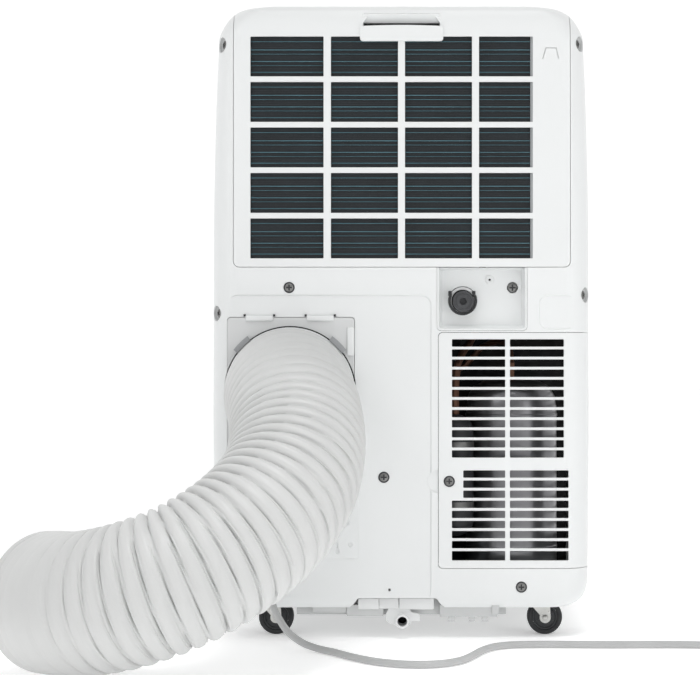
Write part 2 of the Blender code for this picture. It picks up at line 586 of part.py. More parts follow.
def make_compressor():
    shell = [(0, 0.0720), (0.0500, 0.0720), (0.0560, 0.0790), (0.0560, 0.2750), (0.0520, 0.2920),
             (0.0400, 0.3030), (0.0180, 0.3080), (0, 0.3080)]
    x, y, _ = COMPRESSOR_AT
    body = keep(turned("compressor", shell, COMPRESSOR_AT, "z", 28), "black")
    join(body, boxes("compressor_feet", (x - 0.057, x + 0.057, y - 0.057, y + 0.057, 0.0560, 0.0590)))
    join(body, rod("compressor_skirt", (x, y, 0.0660), 0.0450, 0.0160, "z"))
    can = [(0, 0.118), (0.010, 0.118), (0.0215, 0.130), (0.0215, 0.250), (0.010, 0.264), (0, 0.264)]
    keep(turned("accumulator", can, ACCUMULATOR_AT, "z", 16), "copper")
    keep(tube("suction_pipe", smooth_path(SUCTION_PATH, 0.020), 0.0045, 2), "copper")
    keep(tube("discharge_pipe", smooth_path(DISCHARGE_PATH, 0.016), 0.0040, 2), "copper")
    electrics = keep(boxes("electrics_box", (-0.1900, -0.0600, 0.1050, 0.1560, 0.0600, 0.2200)), "grey")
    round_edges(electrics, 0.003, 1)


# ---- Top outlet and controls
def make_outlet():
    x = EVAP_C[0]
    duct = keep(boxes("outlet_duct", (-0.1400, 0.1400, -0.0560, 0.0520, 0.7030, 0.7350)), "white")
    cut(duct, boxes("outlet_channel", (-0.1370, 0.1370, *FLAP_Y, 0.69, 0.75)))
    cut(duct, boxes("outlet_step", (x + 0.003, x + 0.115, -0.0540, 0, 0.69, 0.7150)))
    depth = FLAP_Y[1] - FLAP_Y[0] - 0.0005
    keep(boxes("outlet_flap", (-FLAP_X, FLAP_X, 0, depth, -0.0015, 0.0010), at=FLAP_HINGE), "white")
    for k, vx in enumerate(VANE_X, 1):
        at = (vx, VANE_Y, VANE_Z)
        blade = (-0.0008, 0.0008, -0.0360, 0.0360, -0.0140, 0.0140)
        vane = keep(boxes("vane_%d" % k, blade, at=at), "white")
        join(vane, rod("vane_pivot_%d" % k, at, 0.0018, 0.0776, "y", 10))


def make_controls():
    face = keep(boxes("control_panel", (-0.0780, 0.0780, 0.0710, 0.1300, 0.7440, PANEL_TOP_Z)), "dark")
    cut(face, boxes("display_seat", (-0.0225, 0.0225, 0.0855, 0.1105, 0.7510, 0.76)))
    cap = [(0, -0.0035), (0.0074, -0.0035), (0.0074, 0.0006), (0.0068, 0.0012), (0, 0.0012)]
    for k, x in enumerate(BUTTON_X, 1):
        cut(face, rod("button_seat_%d" % k, (x, BUTTON_Y, 0.7505), 0.0080, 0.0060, "z", 16))
        keep(turned("button_%d" % k, cap, (x, BUTTON_Y, PANEL_TOP_Z), "z", 16), "grey")
    keep(boxes("display_lens", (-0.0220, 0.0220, 0.0860, 0.1100, 0.7513, 0.7530)), "black")
    keep(boxes("control_board", (-0.0740, 0.0740, 0.0740, 0.1270, 0.7410, 0.7426)), "board")


make_shells()
make_screws()
make_filter_cover()
make_grille()
make_exhaust()
make_drains()
make_base()
for caster, (swivel_x, swivel_y) in CASTERS.items():
    make_caster(caster, swivel_x, swivel_y)
make_cord()
make_evaporator()
make_condenser()
make_compressor()
make_outlet()
make_controls()
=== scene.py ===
"""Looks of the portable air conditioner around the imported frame: camera, light, materials, mains cord,
housing, filter, grille, hose, drains, casters and controls. Metres, +Z up, rear towards -Y."""
from math import copysign, cos, pi, radians, sin, sqrt, tau

import bmesh
import bpy
from mathutils import Matrix, Vector


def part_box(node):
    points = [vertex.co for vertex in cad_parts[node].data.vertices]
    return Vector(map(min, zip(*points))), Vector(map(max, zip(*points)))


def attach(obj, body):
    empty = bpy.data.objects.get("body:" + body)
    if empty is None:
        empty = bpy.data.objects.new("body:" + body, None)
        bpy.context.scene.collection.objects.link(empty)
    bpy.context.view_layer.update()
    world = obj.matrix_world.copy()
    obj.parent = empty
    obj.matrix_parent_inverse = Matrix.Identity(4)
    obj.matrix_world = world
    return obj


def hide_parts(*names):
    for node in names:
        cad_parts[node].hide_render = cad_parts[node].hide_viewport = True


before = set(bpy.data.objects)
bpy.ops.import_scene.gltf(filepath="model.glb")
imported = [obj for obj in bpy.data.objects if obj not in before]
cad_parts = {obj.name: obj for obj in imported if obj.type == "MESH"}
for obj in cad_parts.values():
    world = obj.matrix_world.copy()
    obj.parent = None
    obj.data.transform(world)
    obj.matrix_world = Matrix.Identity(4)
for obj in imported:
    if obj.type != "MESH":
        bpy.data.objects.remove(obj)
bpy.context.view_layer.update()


def centre(node):
    """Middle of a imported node's box."""
    return [(a + b) / 2 for a, b in zip(*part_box(node))]


def span(node, grow=0.0):
    """x0, x1, y0, y1, z0, z1 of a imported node's box, wider in plan by grow."""
    low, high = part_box(node)
    return low.x - grow, high.x + grow, low.y - grow, high.y + grow, low.z, high.z


# ---- Driving sizes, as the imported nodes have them
SHELL_LOW, SHELL_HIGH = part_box("rear_shell")
COVER_LOW, COVER_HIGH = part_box("filter_cover")
GRILLE_LOW, GRILLE_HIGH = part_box("condenser_grille")
DUCT_LOW, DUCT_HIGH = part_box("duct_panel")
POCKET_LOW, POCKET_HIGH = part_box("drain_pocket")
REAR_Y = SHELL_LOW.y
FRONT_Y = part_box("front_panel")[1].y
SPLIT_Y = SHELL_HIGH.y
WALL = 0.003
PLAN_R = 0.032
SHUT = 0.0005
# half width, inset of front and rear, height: the skirt rolls under and the top edge is round
SECTIONS = ((0.203, 0.006, 0.037), (0.213, 0.003, 0.0425), (0.22, 0.0012, 0.052), (0.2235, 0.0, 0.068),
    (0.225, 0.0, 0.26), (0.2245, 0.0, 0.5), (0.218, 0.0, 0.714), (0.212, 0.0007, 0.729),
    (0.203, 0.003, 0.741), (0.191, 0.008, 0.749), (0.178, 0.016, 0.752))
FAR = 0.3           # cuts run out to here
ABOVE = 0.8         # and up to here
CROWN_Z = 0.735     # the top opening's cuts start here
INSIDE_Y = -0.17    # cuts through the rear wall end here
BACK = (0, -1, 0)

CELL_X = ((-0.1785, -0.0918), (-0.0831, -0.0036), (0.0047, 0.0841), (0.0924, 0.1561))
CELL_Z0 = 0.4512
CELL_H = 0.0473
CELL_PITCH = 0.0539
CELL_ROWS = 5
SLOT_X = ((0.0603, 0.1234), (0.129, 0.1929))
LOWER_SLOT_X1 = 0.1985
SHORT_SLOT_X0 = 0.0737
SLOT_H = 0.0088
LAST_SLOT_H = 0.0112
SLOT_PITCH = 0.01195
SLOT_BLOCKS = ((0.3553, 12), (0.2, 9))
SIDE_ROWS = 16
SIDE_SLOT_H = 0.009
SIDE_SLOT_PITCH = 0.0151
DUCT = centre("hose_adapter")[::2]
RIM_R = 0.0785
DRAIN = (0.0735, 0.401)
POCKET_FLOOR_Y = -0.1655
GLAND = (-0.152, -0.186, 0.055)
SPOUT_Z = 0.0213
COMPRESSOR = (0.135, -0.1)
SCREW_R = 0.0052
POCKET_SCREW_R = 0.0056
WELL_R = 0.008
WELL_DEPTH = 0.0053     # the CAD's own, so that a pressed cap clears the floor
SCREWS = {"screw_band": "rear", "screw_pocket": "pocket", "screw_grille": "grille",
    "screw_middle": "recess", "screw_base": "rear"}
SCOOPS = ((-1, 0.706), (-1, 0.386), (1, 0.707), (1, 0.408))       # side, height

HOSE_PATH = ((-0.1315, -0.1942, 0.2925), (-0.13, -0.23, 0.29), (-0.12, -0.29, 0.27),
    (-0.115, -0.35, 0.235), (-0.125, -0.41, 0.195), (-0.16, -0.46, 0.155), (-0.215, -0.49, 0.12),
    (-0.275, -0.492, 0.096), (-0.33, -0.468, 0.082), (-0.37, -0.424, 0.077))
HOSE_R = 0.0755
HOSE_PITCH = 0.015
FOLD_LEAST = 0.0013  # depth at the outlet
FOLD_MORE = 0.0059   # what is added along the run

CORD_PATH = ((-0.152, -0.2078, 0.055), (-0.151, -0.224, 0.053), (-0.147, -0.238, 0.044),
    (-0.139, -0.25, 0.031), (-0.128, -0.26, 0.0185), (-0.113, -0.27, 0.0095), (-0.096, -0.283, 0.0052),
    (-0.077, -0.303, 0.0044), (-0.056, -0.335, 0.0044), (-0.03, -0.366, 0.0044), (-0.002, -0.384, 0.0044),
    (0.026, -0.388, 0.0044), (0.05, -0.378, 0.0044), (0.068, -0.357, 0.0044), (0.081, -0.325, 0.0044),
    (0.092, -0.293, 0.0044), (0.106, -0.268, 0.0044), (0.126, -0.254, 0.0044), (0.155, -0.25, 0.0044),
    (0.23, -0.252, 0.0044), (0.344, -0.254, 0.0044), (0.38, -0.268, 0.0044), (0.403, -0.286, 0.0044))
CORD_R = 0.0042
COIL_AT = (0.46, -0.25)
COIL_R = 0.05
PLUG_AT = (0.51, -0.172, 0.014)


# ---- Camera, floor and light
def dial(node, **settings):
    """Sets a node's own inputs; an underscore stands for a space in an input's name."""
    for name, value in settings.items():
        node.inputs[name.replace("_", " ")].default_value = value


def make_stage():
    data = bpy.data.cameras.new("camera")
    data.lens = 104.2
    data.sensor_width = 36.0
    data.shift_x = -0.0729
    data.shift_y = -0.0236
    data.clip_end = 30.0
    camera = placed("camera", data)
    camera.location = (0.0, -2.585, 0.377)
    camera.rotation_euler = (radians(90), 0.0, 0.0)
    bpy.context.scene.camera = camera
    bpy.context.scene.view_settings.view_transform = "Standard"

    bm = bmesh.new()
    bmesh.ops.create_grid(bm, x_segments=8, y_segments=8, size=9.0)
    floor = mesh_object("floor", bm)
    paint = material("floor_paint", (0.97, 0.97, 0.97), 0.75, mottle=(0.8, 0.01), grain=(60.0, 0.02))
    floor.data.materials.append(paint)
    dial(paint.node_tree.nodes["Principled BSDF"], Emission_Color=(1.0, 1.0, 1.0, 1.0),
        Emission_Strength=0.28)

    world = bpy.data.worlds.new("studio")
    world.use_nodes = True
    tree = world.node_tree
    sky = tree.nodes["Background"]
    dial(sky, Color=(1.0, 1.0, 1.0, 1.0))
    coords = tree.nodes.new("ShaderNodeTexCoord")
    parts = tree.nodes.new("ShaderNodeSeparateXYZ")
    fall = tree.nodes.new("ShaderNodeMapRange")
    dial(fall, From_Min=0.0, From_Max=0.5, To_Min=0.56, To_Max=1.08)
    tree.links.new(coords.outputs["Generated"], parts.inputs["Vector"])
    tree.links.new(parts.outputs["Y"], fall.inputs["Value"])
    tree.links.new(fall.outputs["Result"], sky.inputs["Strength"])
    bpy.context.scene.world = world
    for name, at, aim, size, power, spread in (("key", (-1.8, -2.3, 2.0), (0.0, 0.0, 0.3), 1.0, 9.0, 180),
            ("fill", (2.0, -2.4, 0.9), (0.1, 0.0, 0.3), 1.2, 6.5, 180),
            ("floor_wash", (0.1, -1.0, 1.9), (0.1, -0.9, 0.0), 0.6, 3.0, 75)):
        lamp = bpy.data.lights.new(name, "AREA")
        lamp.size = size
        lamp.energy = power
        lamp.spread = radians(spread)
        obj = placed(name, lamp)
        obj.location = at
        obj.rotation_euler = (Vector(aim) - Vector(at)).to_track_quat("-Z", "Y").to_euler()


# ---- Materials
def material(name, rgb, rough, metal=0.0, mottle=(5.0, 0.02), grain=(700.0, 0.05), spread=0.05, edge=0.0,
        stretch=(1.0, 1.0, 1.0), coat=0.0, edge_sheen=None):
    """Mottled colour, uneven gloss, fine grain; edge rounds arrises, and a lighter tint on them is a
    painted edge highlight.
    """
    mat = bpy.data.materials.new(name)
    mat.use_nodes = True
    nodes = mat.node_tree.nodes
    link = mat.node_tree.links.new
    shader = nodes["Principled BSDF"]
    dial(shader, Metallic=metal, Coat_Weight=coat)
    coords = nodes.new("ShaderNodeTexCoord")
    scaled = nodes.new("ShaderNodeMapping")
    dial(scaled, Scale=stretch)
    link(coords.outputs["Object"], scaled.inputs["Vector"])

    def noise(scale, detail=3.0):
        tex = nodes.new("ShaderNodeTexNoise")
        dial(tex, Scale=scale, Detail=detail)
        link(scaled.outputs["Vector"], tex.inputs["Vector"])
        return tex.outputs["Fac"]

    ramp = nodes.new("ShaderNodeValToRGB")
    ramp.color_ramp.elements[0].position = 0.3
    ramp.color_ramp.elements[1].position = 0.7
    for element, sign in zip(ramp.color_ramp.elements, (-1, 1)):
        element.color = (*[min(1.0, c * (1 + sign * mottle[1])) for c in rgb], 1.0)
    link(noise(mottle[0]), ramp.inputs["Fac"])
    colour = ramp.outputs["Color"]
    if edge:
        arris = nodes.new("ShaderNodeBevel")
        arris.samples = 4
        dial(arris, Radius=edge)
    # Painted edge highlight: the colour shifts to a lighter tint where the rounded-edge normal leaves the
    # true one.
    if edge_sheen:
        geometry = nodes.new("ShaderNodeNewGeometry")
        turn = nodes.new("ShaderNodeVectorMath")
        turn.operation = "DOT_PRODUCT"
        link(geometry.outputs["Normal"], turn.inputs[0])
        link(arris.outputs["Normal"], turn.inputs[1])
        sheen_mask = nodes.new("ShaderNodeMapRange")
        dial(sheen_mask, From_Min=0.98, From_Max=0.8)
        link(turn.outputs["Value"], sheen_mask.inputs["Value"])
        mix = nodes.new("ShaderNodeMix")
        mix.data_type = "RGBA"
        plain, sheen_colour = [s for s in mix.inputs if s.type == "RGBA"]
        sheen_colour.default_value = (*edge_sheen, 1.0)
        link(sheen_mask.outputs["Result"], mix.inputs["Factor"])
        link(colour, plain)
        colour = [s for s in mix.outputs if s.type == "RGBA"][0]
    link(colour, shader.inputs["Base Color"])
    gloss = nodes.new("ShaderNodeMapRange")
    dial(gloss, To_Min=rough - spread, To_Max=rough + spread)
    link(noise(mottle[0] * 7.0), gloss.inputs["Value"])
    link(gloss.outputs["Result"], shader.inputs["Roughness"])
    bump = nodes.new("ShaderNodeBump")
    dial(bump, Strength=grain[1], Distance=0.001)
    link(noise(grain[0], 2.0), bump.inputs["Height"])
    if edge:
        link(arris.outputs["Normal"], bump.inputs["Normal"])
    link(bump.outputs["Normal"], shader.inputs["Normal"])
    return mat


def make_materials():
    """One finish for each kind of stuff, besides finishes that paint shade and highlights; the names are
    the record's material slots.
    """
    # The last, lighter colour given to many finishes paints a highlight along their rounded edges.
    return {
        "white_housing": material("housing_plastic", (0.835, 0.85, 0.85), 0.36, mottle=(3.0, 0.012),
            grain=(1400.0, 0.05), edge=0.0009, edge_sheen=(0.9, 0.91, 0.91)),
        "white_inner": material("inner_plastic", (0.8, 0.81, 0.81), 0.45, edge=0.0005,
            edge_sheen=(0.85, 0.86, 0.86)),
        "plate_grey": material("plate_plastic", (0.7, 0.71, 0.71), 0.42, edge=0.0006,
            edge_sheen=(0.78, 0.79, 0.79)),
        "hose_plastic": material("hose_film", (0.625, 0.63, 0.625), 0.46, mottle=(9.0, 0.025),
            grain=(420.0, 0.1), spread=0.09),
        "dark_filter": material("filter_mesh", (0.008, 0.013, 0.017), 0.5, mottle=(24.0, 0.25),
            grain=(1800.0, 0.3), spread=0.1),
        # Light teal rib colour: painted highlight on the dark filter's ribs.
        "rib_highlight": material("filter_ribs_painted_highlight", (0.07, 0.15, 0.18), 0.22, mottle=(30.0, 0.2),
            grain=(900.0, 0.2), coat=0.3),
        "grey_plastic": material("pan_plastic", (0.6, 0.61, 0.61), 0.5, mottle=(12.0, 0.04),
            grain=(600.0, 0.15), edge=0.0006, edge_sheen=(0.6, 0.61, 0.61)),
        "cord_grey": material("cord_sleeve", (0.49, 0.495, 0.495), 0.52, mottle=(20.0, 0.03),
            grain=(900.0, 0.1)),
        "rubber_dark": material("plug_rubber", (0.06, 0.062, 0.066), 0.68, mottle=(40.0, 0.15),
            grain=(900.0, 0.25), edge=0.0004, edge_sheen=(0.09, 0.09, 0.095)),
        "tyre_dark": material("tyre_rubber", (0.022, 0.023, 0.025), 0.62, mottle=(50.0, 0.2),
            grain=(700.0, 0.3), edge=0.0005, edge_sheen=(0.07, 0.07, 0.07)),
        "zinc_steel": material("zinc_plate", (0.6, 0.6, 0.58), 0.3, metal=1.0, mottle=(60.0, 0.08),
            grain=(500.0, 0.12), spread=0.1, edge=0.0003, edge_sheen=(0.78, 0.78, 0.76)),
        "screw_steel": material("screw_phosphate", (0.25, 0.25, 0.245), 0.42, metal=1.0,
            mottle=(90.0, 0.15), grain=(900.0, 0.15), spread=0.08, edge=0.0002, edge_sheen=(0.42, 0.42, 0.41)),
        "aluminium_fins": material("fin_stock", (0.62, 0.64, 0.66), 0.34, metal=1.0, mottle=(30.0, 0.08),
            grain=(300.0, 0.2), stretch=(1.0, 1.0, 0.1)),
        "duct_foam": material("moulded_foam", (0.78, 0.79, 0.78), 0.88, mottle=(60.0, 0.05),
            grain=(260.0, 0.55)),
        "fan_plastic": material("fan_moulding", (0.03, 0.032, 0.035), 0.45, mottle=(20.0, 0.12),
            grain=(800.0, 0.12), edge=0.0004, edge_sheen=(0.08, 0.08, 0.085)),
        # Copper drawn far darker than its own colour: painted shade of the dark compressor compartment.
        "copper": material("copper_tube_painted_shade", (0.2, 0.105, 0.07), 0.42, metal=0.8, mottle=(35.0, 0.18),
            grain=(300.0, 0.1), spread=0.1),
        "compressor_black": material("enamel_black", (0.25, 0.25, 0.26), 0.3, metal=0.9,
            mottle=(25.0, 0.12), grain=(160.0, 0.08), coat=0.1),
        "control_dark": material("panel_gloss", (0.018, 0.02, 0.022), 0.14, mottle=(15.0, 0.15),
            grain=(900.0, 0.02), edge=0.0005, edge_sheen=(0.05, 0.05, 0.05)),
        "display_black": material("display_glass", (0.006, 0.006, 0.008), 0.06, mottle=(15.0, 0.15),
            grain=(900.0, 0.01), coat=0.5),
        "board_green": material("board_resist", (0.02, 0.14, 0.05), 0.35, mottle=(90.0, 0.2),
            grain=(500.0, 0.1)),
        # Near-black matte finish that paints shade in gaps, bores, the finger slot and the compressor
        # compartment.
        "painted_shade_dark": material("painted_shade_matte", (0.024, 0.024, 0.025), 0.95, mottle=(80.0, 0.35),
            grain=(500.0, 0.9)),
        "legend_white": material("legend_ink", (0.75, 0.76, 0.76), 0.5, grain=(900.0, 0.02)),
        "button_grey": material("button_plastic", (0.36, 0.37, 0.38), 0.38, mottle=(20.0, 0.04),
            grain=(900.0, 0.06), edge=0.0004, edge_sheen=(0.46, 0.47, 0.48)),
    }


# ---- Mesh helpers
def placed(name, data):
    obj = bpy.data.objects.new(name, data)
    bpy.context.scene.collection.objects.link(obj)
    return obj


def mesh_object(name, bm):
    bmesh.ops.recalc_face_normals(bm, faces=bm.faces)
    mesh = bpy.data.meshes.new(name)
    bm.to_mesh(mesh)
    bm.free()
    return placed(name, mesh)


def soften(obj, degrees=32):
    """Smooth shading, broken where faces meet more sharply than this."""
    obj.data.shade_smooth()
    obj.data.set_sharp_from_angle(angle=radians(degrees))
    return obj


def fit(obj, finish, body, *nodes, slot=None, degrees=32):
    """Finishes a piece: material, smooth shading, the body that it rides on, what it stands for."""
    obj.data.materials.clear()
    obj.data.materials.append(FINISH[finish])
    if obj.type == "MESH":
        soften(obj, degrees)
    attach(obj, body)
    if nodes:
        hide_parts(*nodes)
    return obj


def blocks(name, *spans, round_by=0.0, segments=2):
    """Boxes given as x0, x1, y0, y1, z0, z1, with round edges."""
    bm = bmesh.new()
    for x0, x1, y0, y1, z0, z1 in spans:
        middle = Matrix.Translation(((x0 + x1) / 2, (y0 + y1) / 2, (z0 + z1) / 2))
        bmesh.ops.create_cube(bm, size=1.0, matrix=middle @ Matrix.Diagonal((x1 - x0, y1 - y0, z1 - z0, 1)))
    if round_by:
        bmesh.ops.bevel(bm, geom=list(bm.edges), offset=round_by, segments=segments, affect="EDGES",
            profile=0.5)
    return mesh_object(name, bm)


def rounded(x0, x1, z0, z1, radius, corners=(1, 1, 1, 1), steps=6):
    """Outline of a rectangle; corners picks bottom left, bottom right, top right, top left."""
    points = []
    for (cx, cz, start), on in zip(((x0, z0, 180), (x1, z0, 270), (x1, z1, 0), (x0, z1, 90)), corners):
        if not on:
            points.append((cx, cz))
            continue
        mx = cx + radius if cx == x0 else cx - radius
        mz = cz + radius if cz == z0 else cz - radius
        for k in range(steps + 1):
            a = radians(start + 90 * k / steps)
            points.append((mx + radius * cos(a), mz + radius * sin(a)))
    return points


def prism(name, outlines, y0, y1, taper=0.0, round_by=0.0):
    """Outlines in x and z, carried from y0 to y1; taper shrinks the far face towards its middle."""
    bm = bmesh.new()
    for outline in outlines:
        mx = (min(p[0] for p in outline) + max(p[0] for p in outline)) / 2
        mz = (min(p[1] for p in outline) + max(p[1] for p in outline)) / 2
        near = [bm.verts.new((x, y0, z)) for x, z in outline]
        far = [bm.verts.new((x - copysign(min(taper, abs(x - mx)), x - mx), y1,
            z - copysign(min(taper, abs(z - mz)), z - mz))) for x, z in outline]
        bm.faces.new(near)
        bm.faces.new(list(reversed(far)))
        for k in range(len(near)):
            j = (k + 1) % len(near)
            bm.faces.new((near[j], near[k], far[k], far[j]))
    if round_by:
        rim = [e for e in bm.edges if len(e.link_faces) == 2 and e.calc_face_angle(0) > 0.8]
        bmesh.ops.bevel(bm, geom=rim, offset=round_by, segments=2, affect="EDGES", profile=0.5)
    return mesh_object(name, bm)


def lathe(name, profile, at=(0, 0, 0), aim=(0, 0, 1), steps=48):
    """Radius, height points turned about the aim through at; a ring unless they start on the axis."""
    seat = Matrix.Translation(at) @ Vector((0, 0, 1)).rotation_difference(Vector(aim)).to_matrix().to_4x4()
    bm = bmesh.new()
    rings = []
    for r, h in profile:
        count = steps if r > 1e-6 else 1
        rings.append([bm.verts.new(seat @ Vector((r * cos(tau * k / steps), r * sin(tau * k / steps), h)))
            for k in range(count)])
    for a, b in zip(rings, rings[1:] + (rings[:1] if profile[0][0] else [])):
        for k in range(steps):
            j = (k + 1) % steps
            face = [a[k % len(a)], a[j % len(a)], b[j % len(b)], b[k % len(b)]]
            face = [v for i, v in enumerate(face) if v not in face[:i]]
            if len(face) > 2:
                bm.faces.new(face)
    return mesh_object(name, bm)


def smooth_path(points, step):
    """Even stations along a centripetal Catmull-Rom curve through the points."""
    p = [Vector(a) for a in points]
    p = [p[0] * 2 - p[1]] + p + [p[-1] * 2 - p[-2]]
    fine = []
    for i in range(1, len(p) - 2):
        t = [0.0]
        for k in range(3):
            t.append(t[-1] + (p[i + k] - p[i + k - 1]).length ** 0.5)
        for k in range(24):
            u = t[1] + (t[2] - t[1]) * k / 24
            a1 = p[i - 1].lerp(p[i], (u - t[0]) / (t[1] - t[0]))
            a2 = p[i].lerp(p[i + 1], (u - t[1]) / (t[2] - t[1]))
            a3 = p[i + 1].lerp(p[i + 2], (u - t[2]) / (t[3] - t[2]))
            b1 = a1.lerp(a2, (u - t[0]) / (t[2] - t[0]))
            b2 = a2.lerp(a3, (u - t[1]) / (t[3] - t[1]))
            fine.append(b1.lerp(b2, (u - t[1]) / (t[2] - t[1])))
    fine.append(p[-2])
    run = [0.0]
    for a, b in zip(fine, fine[1:]):
        run.append(run[-1] + (b - a).length)
    count = max(2, round(run[-1] / step))
    stations = []
    i = 0
    for k in range(count + 1):
        want = run[-1] * k / count
        while i < len(run) - 2 and run[i + 1] < want:
            i += 1
        stations.append(fine[i].lerp(fine[i + 1], (want - run[i]) / (run[i + 1] - run[i])))
    return stations


def loft(name, bm, rings, capped=True):
    """Skin over rings of as many vertices each."""
    for a, b in zip(rings, rings[1:]):
        for k in range(len(a)):
            j = (k + 1) % len(a)
            bm.faces.new((a[k], a[j], b[j], b[k]))
    if capped:
        bm.faces.new(rings[0])
        bm.faces.new(list(reversed(rings[-1])))
    return mesh_object(name, bm)


def swept(name, line, radius, sides):
    """Open tube along the stations; radius takes the run so far, the angle and the bend towards it."""
    bm = bmesh.new()
    normal = None
    run = 0.0
    rings = []
    for i, p in enumerate(line):
        before = line[max(i - 1, 0)]
        after = line[min(i + 1, len(line) - 1)]
        run += (p - before).length
        ahead = (after - before).normalized()
        if normal is None:
            normal = Vector((0, 0, 1)).cross(ahead).cross(ahead).normalized()
        normal = (normal - ahead * normal.dot(ahead)).normalized()
        side = ahead.cross(normal)
        curl = Vector()
        if 0 < i < len(line) - 1:
            curl = ((after - p).normalized() - (p - before).normalized()) / ((after - before).length / 2)
        ring = []
        for k in range(sides):
            a = tau * k / sides
            out = normal * cos(a) + side * sin(a)
            ring.append(bm.verts.new(p + out * radius(run, a, curl.dot(out))))
        rings.append(ring)
    return loft(name, bm, rings, capped=False)


def carve(obj, *steps):
    """Applies Booleans in turn; a step is a tool to take away, or an operation and a tool."""
    steps = [s if isinstance(s, tuple) else ("DIFFERENCE", s) for s in steps]
    for operation, tool in steps:
        mod = obj.modifiers.new(tool.name, "BOOLEAN")
        mod.operation = operation
        mod.object = tool
    bpy.context.view_layer.update()
    seen = obj.evaluated_get(bpy.context.evaluated_depsgraph_get())
    mesh = bpy.data.meshes.new_from_object(seen)
    obj.modifiers.clear()
    obj.data = mesh
    for _, tool in steps:
        bpy.data.objects.remove(tool, do_unlink=True)
    return obj


def weigh(obj):
    """Flat faces keep flat shading beside round ones."""
    mod = obj.modifiers.new("weighted", "WEIGHTED_NORMAL")
    mod.keep_sharp = True
    mod.weight = 90
    return obj


def drum(name, at, radius, length, aim=(0, 1, 0), steps=40):
    half = length / 2
    return lathe(name, [(0, -half), (radius, -half), (radius, half), (0, half)], at, aim, steps)


# ---- Mains cord
def coil_turns():
    """Two turns side by side on the floor and one in the groove over them, leaving towards +Y."""
    floor_z = CORD_R + 0.0002
    gap = 2 * CORD_R + 0.0002
    outer, inner = COIL_R + gap / 2, COIL_R - gap / 2
    crest = (COIL_R, floor_z + gap * sqrt(3) / 2)
    points = []
    for degrees in range(262, 1081, 10):
        if degrees <= 512:
            r, z = outer, floor_z
        elif degrees <= 572:
            t = (degrees - 512) / 60
            r, z = outer + (inner - outer) * t * t * (3 - 2 * t), floor_z
        elif degrees <= 812:
            r, z = inner, floor_z
        elif degrees <= 872:
            t = (degrees - 812) / 60
            a = radians(180 - 60 * t * t * (3 - 2 * t))
            r, z = outer + gap * cos(a), floor_z + gap * sin(a)
        else:
            r, z = crest
        a = radians(degrees)
        points.append((COIL_AT[0] + r * cos(a), COIL_AT[1] + r * sin(a), z))
    return points


def make_cord():
    start = [(GLAND[0], GLAND[1] - 0.004, GLAND[2])]
    plug_end = [(PLUG_AT[0], PLUG_AT[1] - 0.04, PLUG_AT[2]), (PLUG_AT[0], PLUG_AT[1] - 0.028, PLUG_AT[2])]
    line = smooth_path(start + list(CORD_PATH) + coil_turns() + plug_end, 0.004)
    data = bpy.data.curves.new("mains_cord", "CURVE")
    data.dimensions = "3D"
    data.bevel_depth = CORD_R
    data.bevel_resolution = 4
    data.use_fill_caps = True
    spline = data.splines.new("POLY")
    spline.points.add(len(line) - 1)
    spline.points.foreach_set("co", [c for p in line for c in (*p, 1.0)])
    spline.use_smooth = True
    cord = placed("mains_cord", data)
    fit(cord, "cord_grey", "housing", "power_cord", "cord_coil")

    boot = [(0.0045, -0.004), (0.0088, -0.004), (0.009, -0.001), (0.0088, 0.0015)]
    for k in range(5):
        h = 0.003 + 0.0037 * k
        r = 0.0079 - 0.00055 * k
        boot += [(r - 0.001, h), (r, h + 0.0006), (r - 0.0001, h + 0.002), (r - 0.0012, h + 0.0026)]
    boot += [(0.0052, 0.0226), (0.0045, 0.0232)]
    relief = lathe("cord_strain_relief", boot, (GLAND[0], GLAND[1], GLAND[2]), BACK, 32)
    fit(relief, "cord_grey", "housing", "strain_relief")

    x, y, z = PLUG_AT
    body = blocks("plug_body", (x - 0.0135, x + 0.0135, y - 0.024, y + 0.024, z - 0.0128, z + 0.0128),
        round_by=0.0055, segments=4)
    for v in body.data.vertices:
        back = max(0.0, (y + 0.006 - v.co.y) / 0.03)
        v.co.x = x + (v.co.x - x) * (1 - 0.38 * back ** 1.5)
        v.co.z = z + (v.co.z - z) * (1 - 0.3 * back ** 1.5)
    grips = [(x - 0.02, x + 0.02, y + 0.001 - 0.0045 * k, y + 0.0022 - 0.0045 * k,
        z + 0.0118 - 0.0007 * k, z + 0.02) for k in range(4)]
    carve(body, blocks("grip_cuts", *grips))
    fit(body, "cord_grey", "housing", "power_plug")
    neck = [(0.0044, 0.0), (0.007, 0.0), (0.007, 0.0025)]
    for k in range(4):
        h = 0.0035 + 0.0034 * k
        neck += [(0.0056 - 0.0002 * k, h), (0.0064 - 0.0002 * k, h + 0.0006),
            (0.0063 - 0.0002 * k, h + 0.0018)]
    neck += [(0.0047, 0.017), (0.0044, 0.0172)]
    sleeve = lathe("plug_neck", neck, (x, y - 0.022, z), BACK, 32)
    fit(sleeve, "cord_grey", "housing")
    pins = blocks("plug_pins", *[(x + s * 0.0063 - 0.0008, x + s * 0.0063 + 0.0008, y + 0.02, y + 0.0405,
        z - 0.0033, z + 0.0033) for s in (-1, 1)], round_by=0.0005)
    fit(pins, "zinc_steel", "housing")


